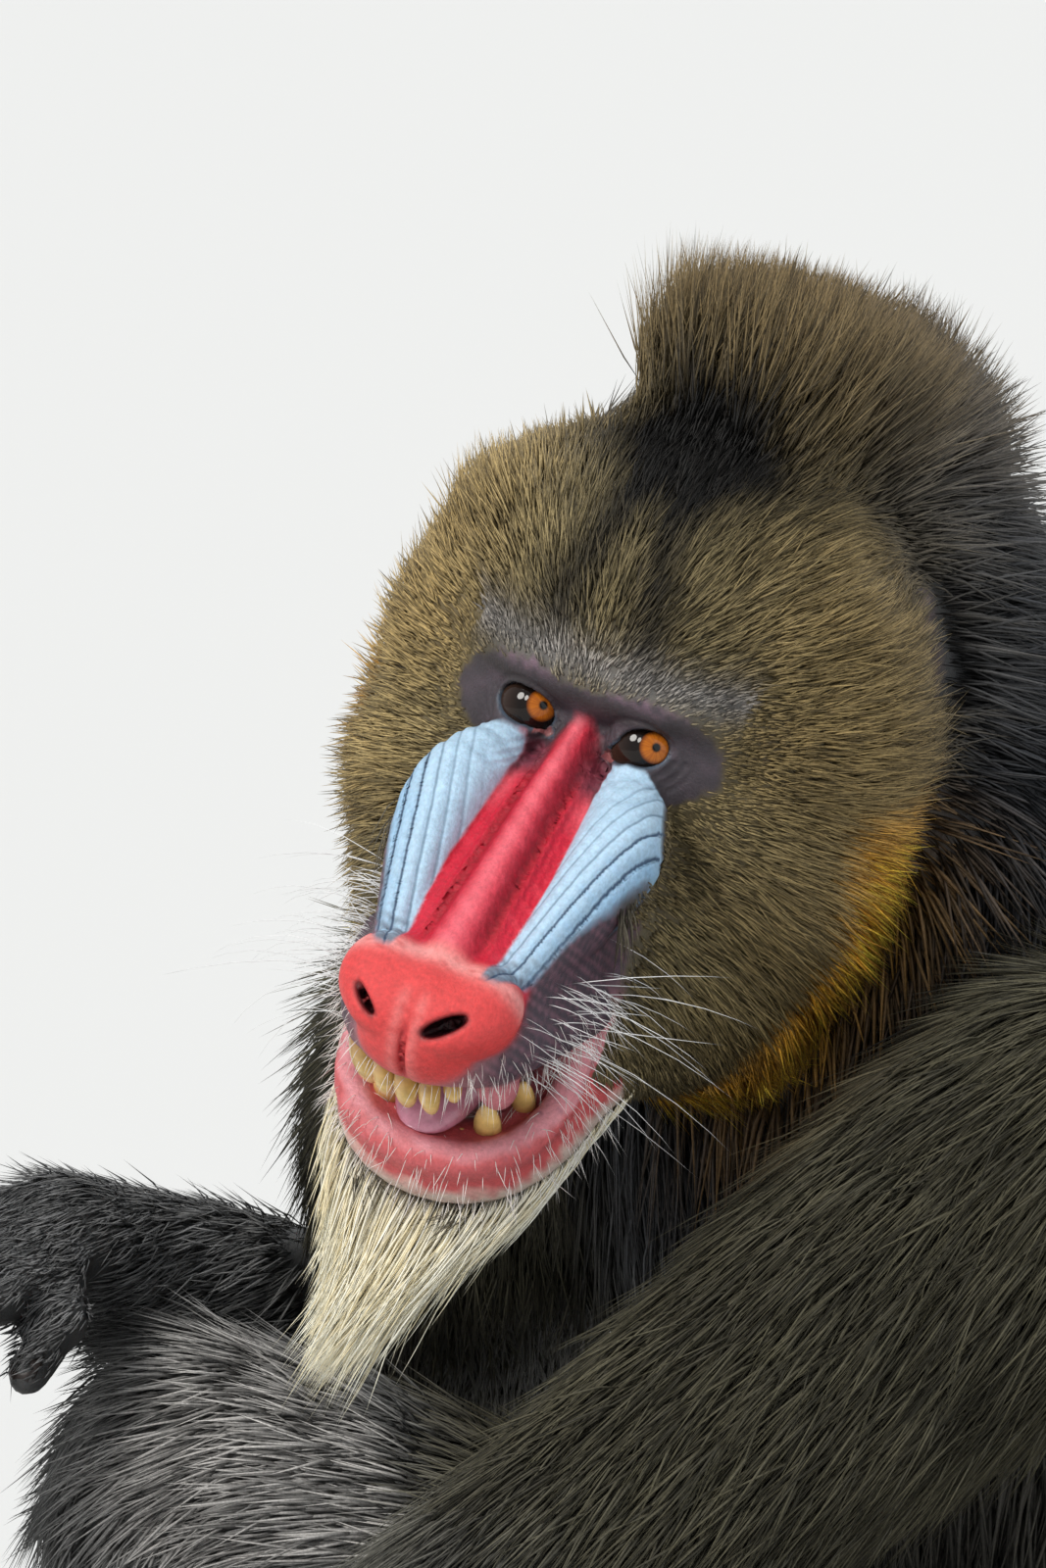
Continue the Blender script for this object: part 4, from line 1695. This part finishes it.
def build_eye(side):
    """A ball with a bulging cornea, its amber iris streaked from the pupil outwards."""
    right, up, back = camera_axes()
    look = unit(GAZE[0] * right + GAZE[1] * up + GAZE[2] * back)
    turn = np.array(Vector(look).to_track_quat("Z", "Y").to_matrix())
    mesh = uv_sphere("eye", 96, 96)
    local = vertex_array(mesh)
    off_axis = np.arccos(np.clip(local[:, 2], -1, 1))
    around = np.arctan2(local[:, 1], local[:, 0])
    iris_edge = math.radians(26)
    bulge = 1 + 0.050 * np.clip(1 - (off_axis / math.radians(32)) ** 2, 0, 1)
    streak = 0.5 + 0.5 * np.sin(around * 31 + 2 * np.sin(around * 7)) * np.sin(around * 13 + 1)
    amber = mix(vec(0.30, 0.070, 0.006), vec(0.50, 0.150, 0.012), streak)
    rim = np.clip((off_axis - math.radians(20)) / math.radians(7), 0, 1)
    amber = mix(amber, vec(0.10, 0.022, 0.004), rim)
    white = mix(vec(0.007, 0.004, 0.003), vec(0.035, 0.018, 0.012), np.clip((off_axis - 0.7) / 0.7, 0, 1))
    colour = mix(amber, white, np.clip((off_axis - iris_edge) / math.radians(2), 0, 1))
    pupil = np.clip((math.radians(8.0) - off_axis) / math.radians(1.2), 0, 1)
    colour = mix(colour, vec(0.002, 0.002, 0.002), pupil)
    centre = in_head(side * EYE_SPACING / 2, 0, 0)
    placed = (local * bulge[:, None] * (EYE_RADIUS + 0.0003)) @ turn.T + centre
    mesh.vertices.foreach_set("co", placed.astype(np.float32).ravel())
    mesh.update()
    paint(mesh, colour)
    name = "eyeball_" + SIDE_NAME[side]
    place_piece(name, mesh, EYE, ["eye_" + SIDE_NAME[side]])


def lathe(rows, sides, turn_to):
    """Points of a closed tapering form through (centre, across radius, deep radius)."""
    across, deep = turn_to
    points, faces = [], []
    for centre, wide, thick in rows:
        for k in range(sides):
            angle = 2 * math.pi * k / sides
            points.append(centre + across * wide * math.cos(angle) + deep * thick * math.sin(angle))
    for i in range(len(rows) - 1):
        for k in range(sides):
            n = (k + 1) % sides
            faces.append((i * sides + k, i * sides + n, (i + 1) * sides + n, (i + 1) * sides + k))
    faces.append(tuple(reversed(range(sides))))
    faces.append(tuple(range((len(rows) - 1) * sides, len(rows) * sides)))
    return points, faces


def joined_mesh(name, forms):
    points, faces, colours = [], [], []
    for form_points, form_faces, form_colours in forms:
        base = len(points)
        points += list(form_points)
        colours += list(form_colours)
        faces += [tuple(i + base for i in f) for f in form_faces]
    mesh = bpy.data.meshes.new(name)
    mesh.from_pydata([tuple(p) for p in points], [], faces)
    bm = bmesh.new()
    bm.from_mesh(mesh)
    bmesh.ops.recalc_face_normals(bm, faces=bm.faces)
    bm.to_mesh(mesh)
    bm.free()
    mesh.polygons.foreach_set("use_smooth", np.ones(len(mesh.polygons), bool))
    paint(mesh, np.array(colours))
    return mesh


# Places along a tooth from the gum line to the tip, and its width there
TOOTH_PROFILE = ((-0.35, 0.80), (0.0, 0.95), (0.25, 1.04), (0.50, 0.98), (0.72, 0.80), (0.88, 0.56),
                 (0.97, 0.30), (1.0, 0.10))


def tooth(x, ahead, under, height, width, direction, lean=0.0):
    """A rounded crown from its gum, stained darker at the neck."""
    rows = []
    for t, share in TOOTH_PROFILE:
        bow = 0.0012 * math.sin(t * 2.5)
        centre = in_muzzle(x * (1 + lean * t), ahead + bow, under + direction * t * height)
        rows.append((centre, width * share / 2, width * share / 2.5))
    axes = (MUZZLE[:, 0], MUZZLE[:, 1])
    points, faces = lathe(rows, 12, axes)
    colours = []
    for t, _ in TOOTH_PROFILE:
        shade = mix(vec(0.42, 0.20, 0.045), vec(0.74, 0.50, 0.17), np.clip((t + 0.05) / 0.5, 0, 1))
        colours += [shade] * 12
    return points, faces, colours


def build_teeth():
    upper = [tooth(x, 0.1310 - 13 * x * x, 0.0330, 0.0185, wide, 1)
             for x, wide in ((-0.0110, 0.0078), (-0.0022, 0.0086), (0.0062, 0.0078))]
    upper.append(tooth(0.0132, 0.1270, 0.0330, 0.0120, 0.0066, 1))
    upper.append(tooth(-0.0215, 0.1240, 0.0330, 0.0230, 0.0105, 1, -0.10))
    place_piece("teeth_top", joined_mesh("teeth_top", upper), IVORY, ["teeth_upper"])
    lower = [tooth(x, 0.1205 - 14 * x * x, 0.0815, 0.0075, 0.0068, -1)
             for x in (-0.0105, -0.0036, 0.0036, 0.0105)]
    for side in SIDES:
        lower.append(tooth(side * 0.0180, 0.1155, 0.0780, 0.0190, 0.0098, -1, 0.08))
        lower.append(tooth(side * 0.0245, 0.1010, 0.0800, 0.0185, 0.0088, -1, 0.05))
    place_piece("teeth_bottom", joined_mesh("teeth_bottom", lower), IVORY, ["teeth_lower"])


def build_tongue():
    mesh = uv_sphere("tongue", 40, 28)
    local = vertex_array(mesh)
    shape = np.sign(local) * np.abs(local) ** vec(0.80, 0.80, 1.0) * vec(0.0165, 0.0425, 0.0085)
    shape[:, 2] -= 0.0018 * np.exp(-((local[:, 0] / 0.22) ** 2)) * (local[:, 2] > 0)
    placed = shape @ MUZZLE.T + in_muzzle(-0.002, 0.0865, 0.0690)
    mesh.vertices.foreach_set("co", placed.astype(np.float32).ravel())
    mesh.update()
    tint = mix(vec(0.66, 0.26, 0.30), vec(0.52, 0.20, 0.28), np.clip(-local[:, 1] * 0.5 + 0.5, 0, 1))
    paint(mesh, tint)
    place_piece("tongue_flesh", mesh, WET, ["tongue"])


def build_nails():
    """A small curved plate on the back of each finger and toe tip."""
    forms = []
    for tip, ahead, radius in NAILS:
        up = unit(vec(0, 0, 1) - ahead * ahead[2] + vec(0, -0.2, 0) * (abs(ahead[2]) > 0.7))
        across = np.cross(ahead, up)
        rows = []
        for t, share in ((-0.9, 0.35), (-0.5, 0.75), (0.2, 0.82), (0.9, 0.70), (1.25, 0.40)):
            centre = tip + ahead * radius * (t * 0.8 + 0.1) + up * radius * (0.62 - 0.25 * max(t, 0))
            rows.append((centre, radius * share, radius * 0.30))
        points, faces = lathe(rows, 10, (across, up))
        forms.append((points, faces, [vec(0.030, 0.022, 0.020)] * len(points)))
    place_piece("nails", joined_mesh("nails", forms), HORN)


for s in SIDES:
    build_eye(s)
build_teeth()
build_tongue()
build_nails()


# Floor, light and camera

PIXEL = 0.00033
CAMERA_DISTANCE = 3.2
SENSOR_WIDTH = 36
FLOOR_RADIUS = 60
PHOTO_WIDTH, PHOTO_HEIGHT = 1067, 1600
EYES_PIXEL = (600, 743)


def build_stage():
    bpy.ops.mesh.primitive_circle_add(vertices=96, radius=FLOOR_RADIUS, fill_type="NGON", location=(0, 0, 0))
    floor = bpy.context.object
    floor.name = "floor"
    pale = bpy.data.materials.new("pale_floor")
    pale.use_nodes = True
    shader = pale.node_tree.nodes["Principled BSDF"]
    shader.inputs["Base Color"].default_value = (0.66, 0.66, 0.65, 1)
    shader.inputs["Roughness"].default_value = 0.9
    floor.data.materials.append(pale)
    world = bpy.data.worlds.new("studio")
    world.use_nodes = True
    sky = world.node_tree.nodes["Background"]
    sky.inputs["Color"].default_value = (0.92, 0.96, 1.0, 1)
    sky.inputs["Strength"].default_value = 0.55
    bpy.context.scene.world = world
    bpy.context.scene.view_settings.view_transform = "Standard"


def sun(name, toward, strength, angle, colour):
    lamp = bpy.data.lights.new(name, "SUN")
    lamp.energy = strength
    lamp.angle = math.radians(angle)
    lamp.color = colour
    made = bpy.data.objects.new(name, lamp)
    made.rotation_mode = "QUATERNION"
    made.rotation_quaternion = Vector(toward).to_track_quat("Z", "Y")
    bpy.context.scene.collection.objects.link(made)


def build_lights():
    right, up, back = camera_axes()
    sun("key", tuple(-0.62 * right + 0.62 * up + 0.62 * back), 2.4, 22, (1.0, 0.97, 0.92))
    sun("fill", tuple(0.75 * right + 0.25 * up + 0.5 * back), 0.6, 60, (0.92, 0.96, 1.0))
    sun("top", tuple(0.25 * right + 0.9 * up - 0.5 * back), 1.0, 30, (1.0, 1.0, 1.0))


def build_camera():
    right, up, back = camera_axes()
    off_x = (PHOTO_WIDTH / 2 - EYES_PIXEL[0]) * PIXEL
    off_y = -(PHOTO_HEIGHT / 2 - EYES_PIXEL[1]) * PIXEL
    target = EYES + right * off_x + up * off_y
    camera = bpy.data.cameras.new("camera")
    camera.sensor_width = SENSOR_WIDTH
    camera.lens = SENSOR_WIDTH * CAMERA_DISTANCE / (PHOTO_HEIGHT * PIXEL)
    made = bpy.data.objects.new("camera", camera)
    axes = Matrix(np.stack([right, up, back], axis=1).tolist()).to_4x4()
    made.matrix_world = Matrix.Translation(Vector(target + back * CAMERA_DISTANCE)) @ axes
    bpy.context.scene.collection.objects.link(made)
    bpy.context.scene.camera = made


build_stage()
build_lights()
build_camera()
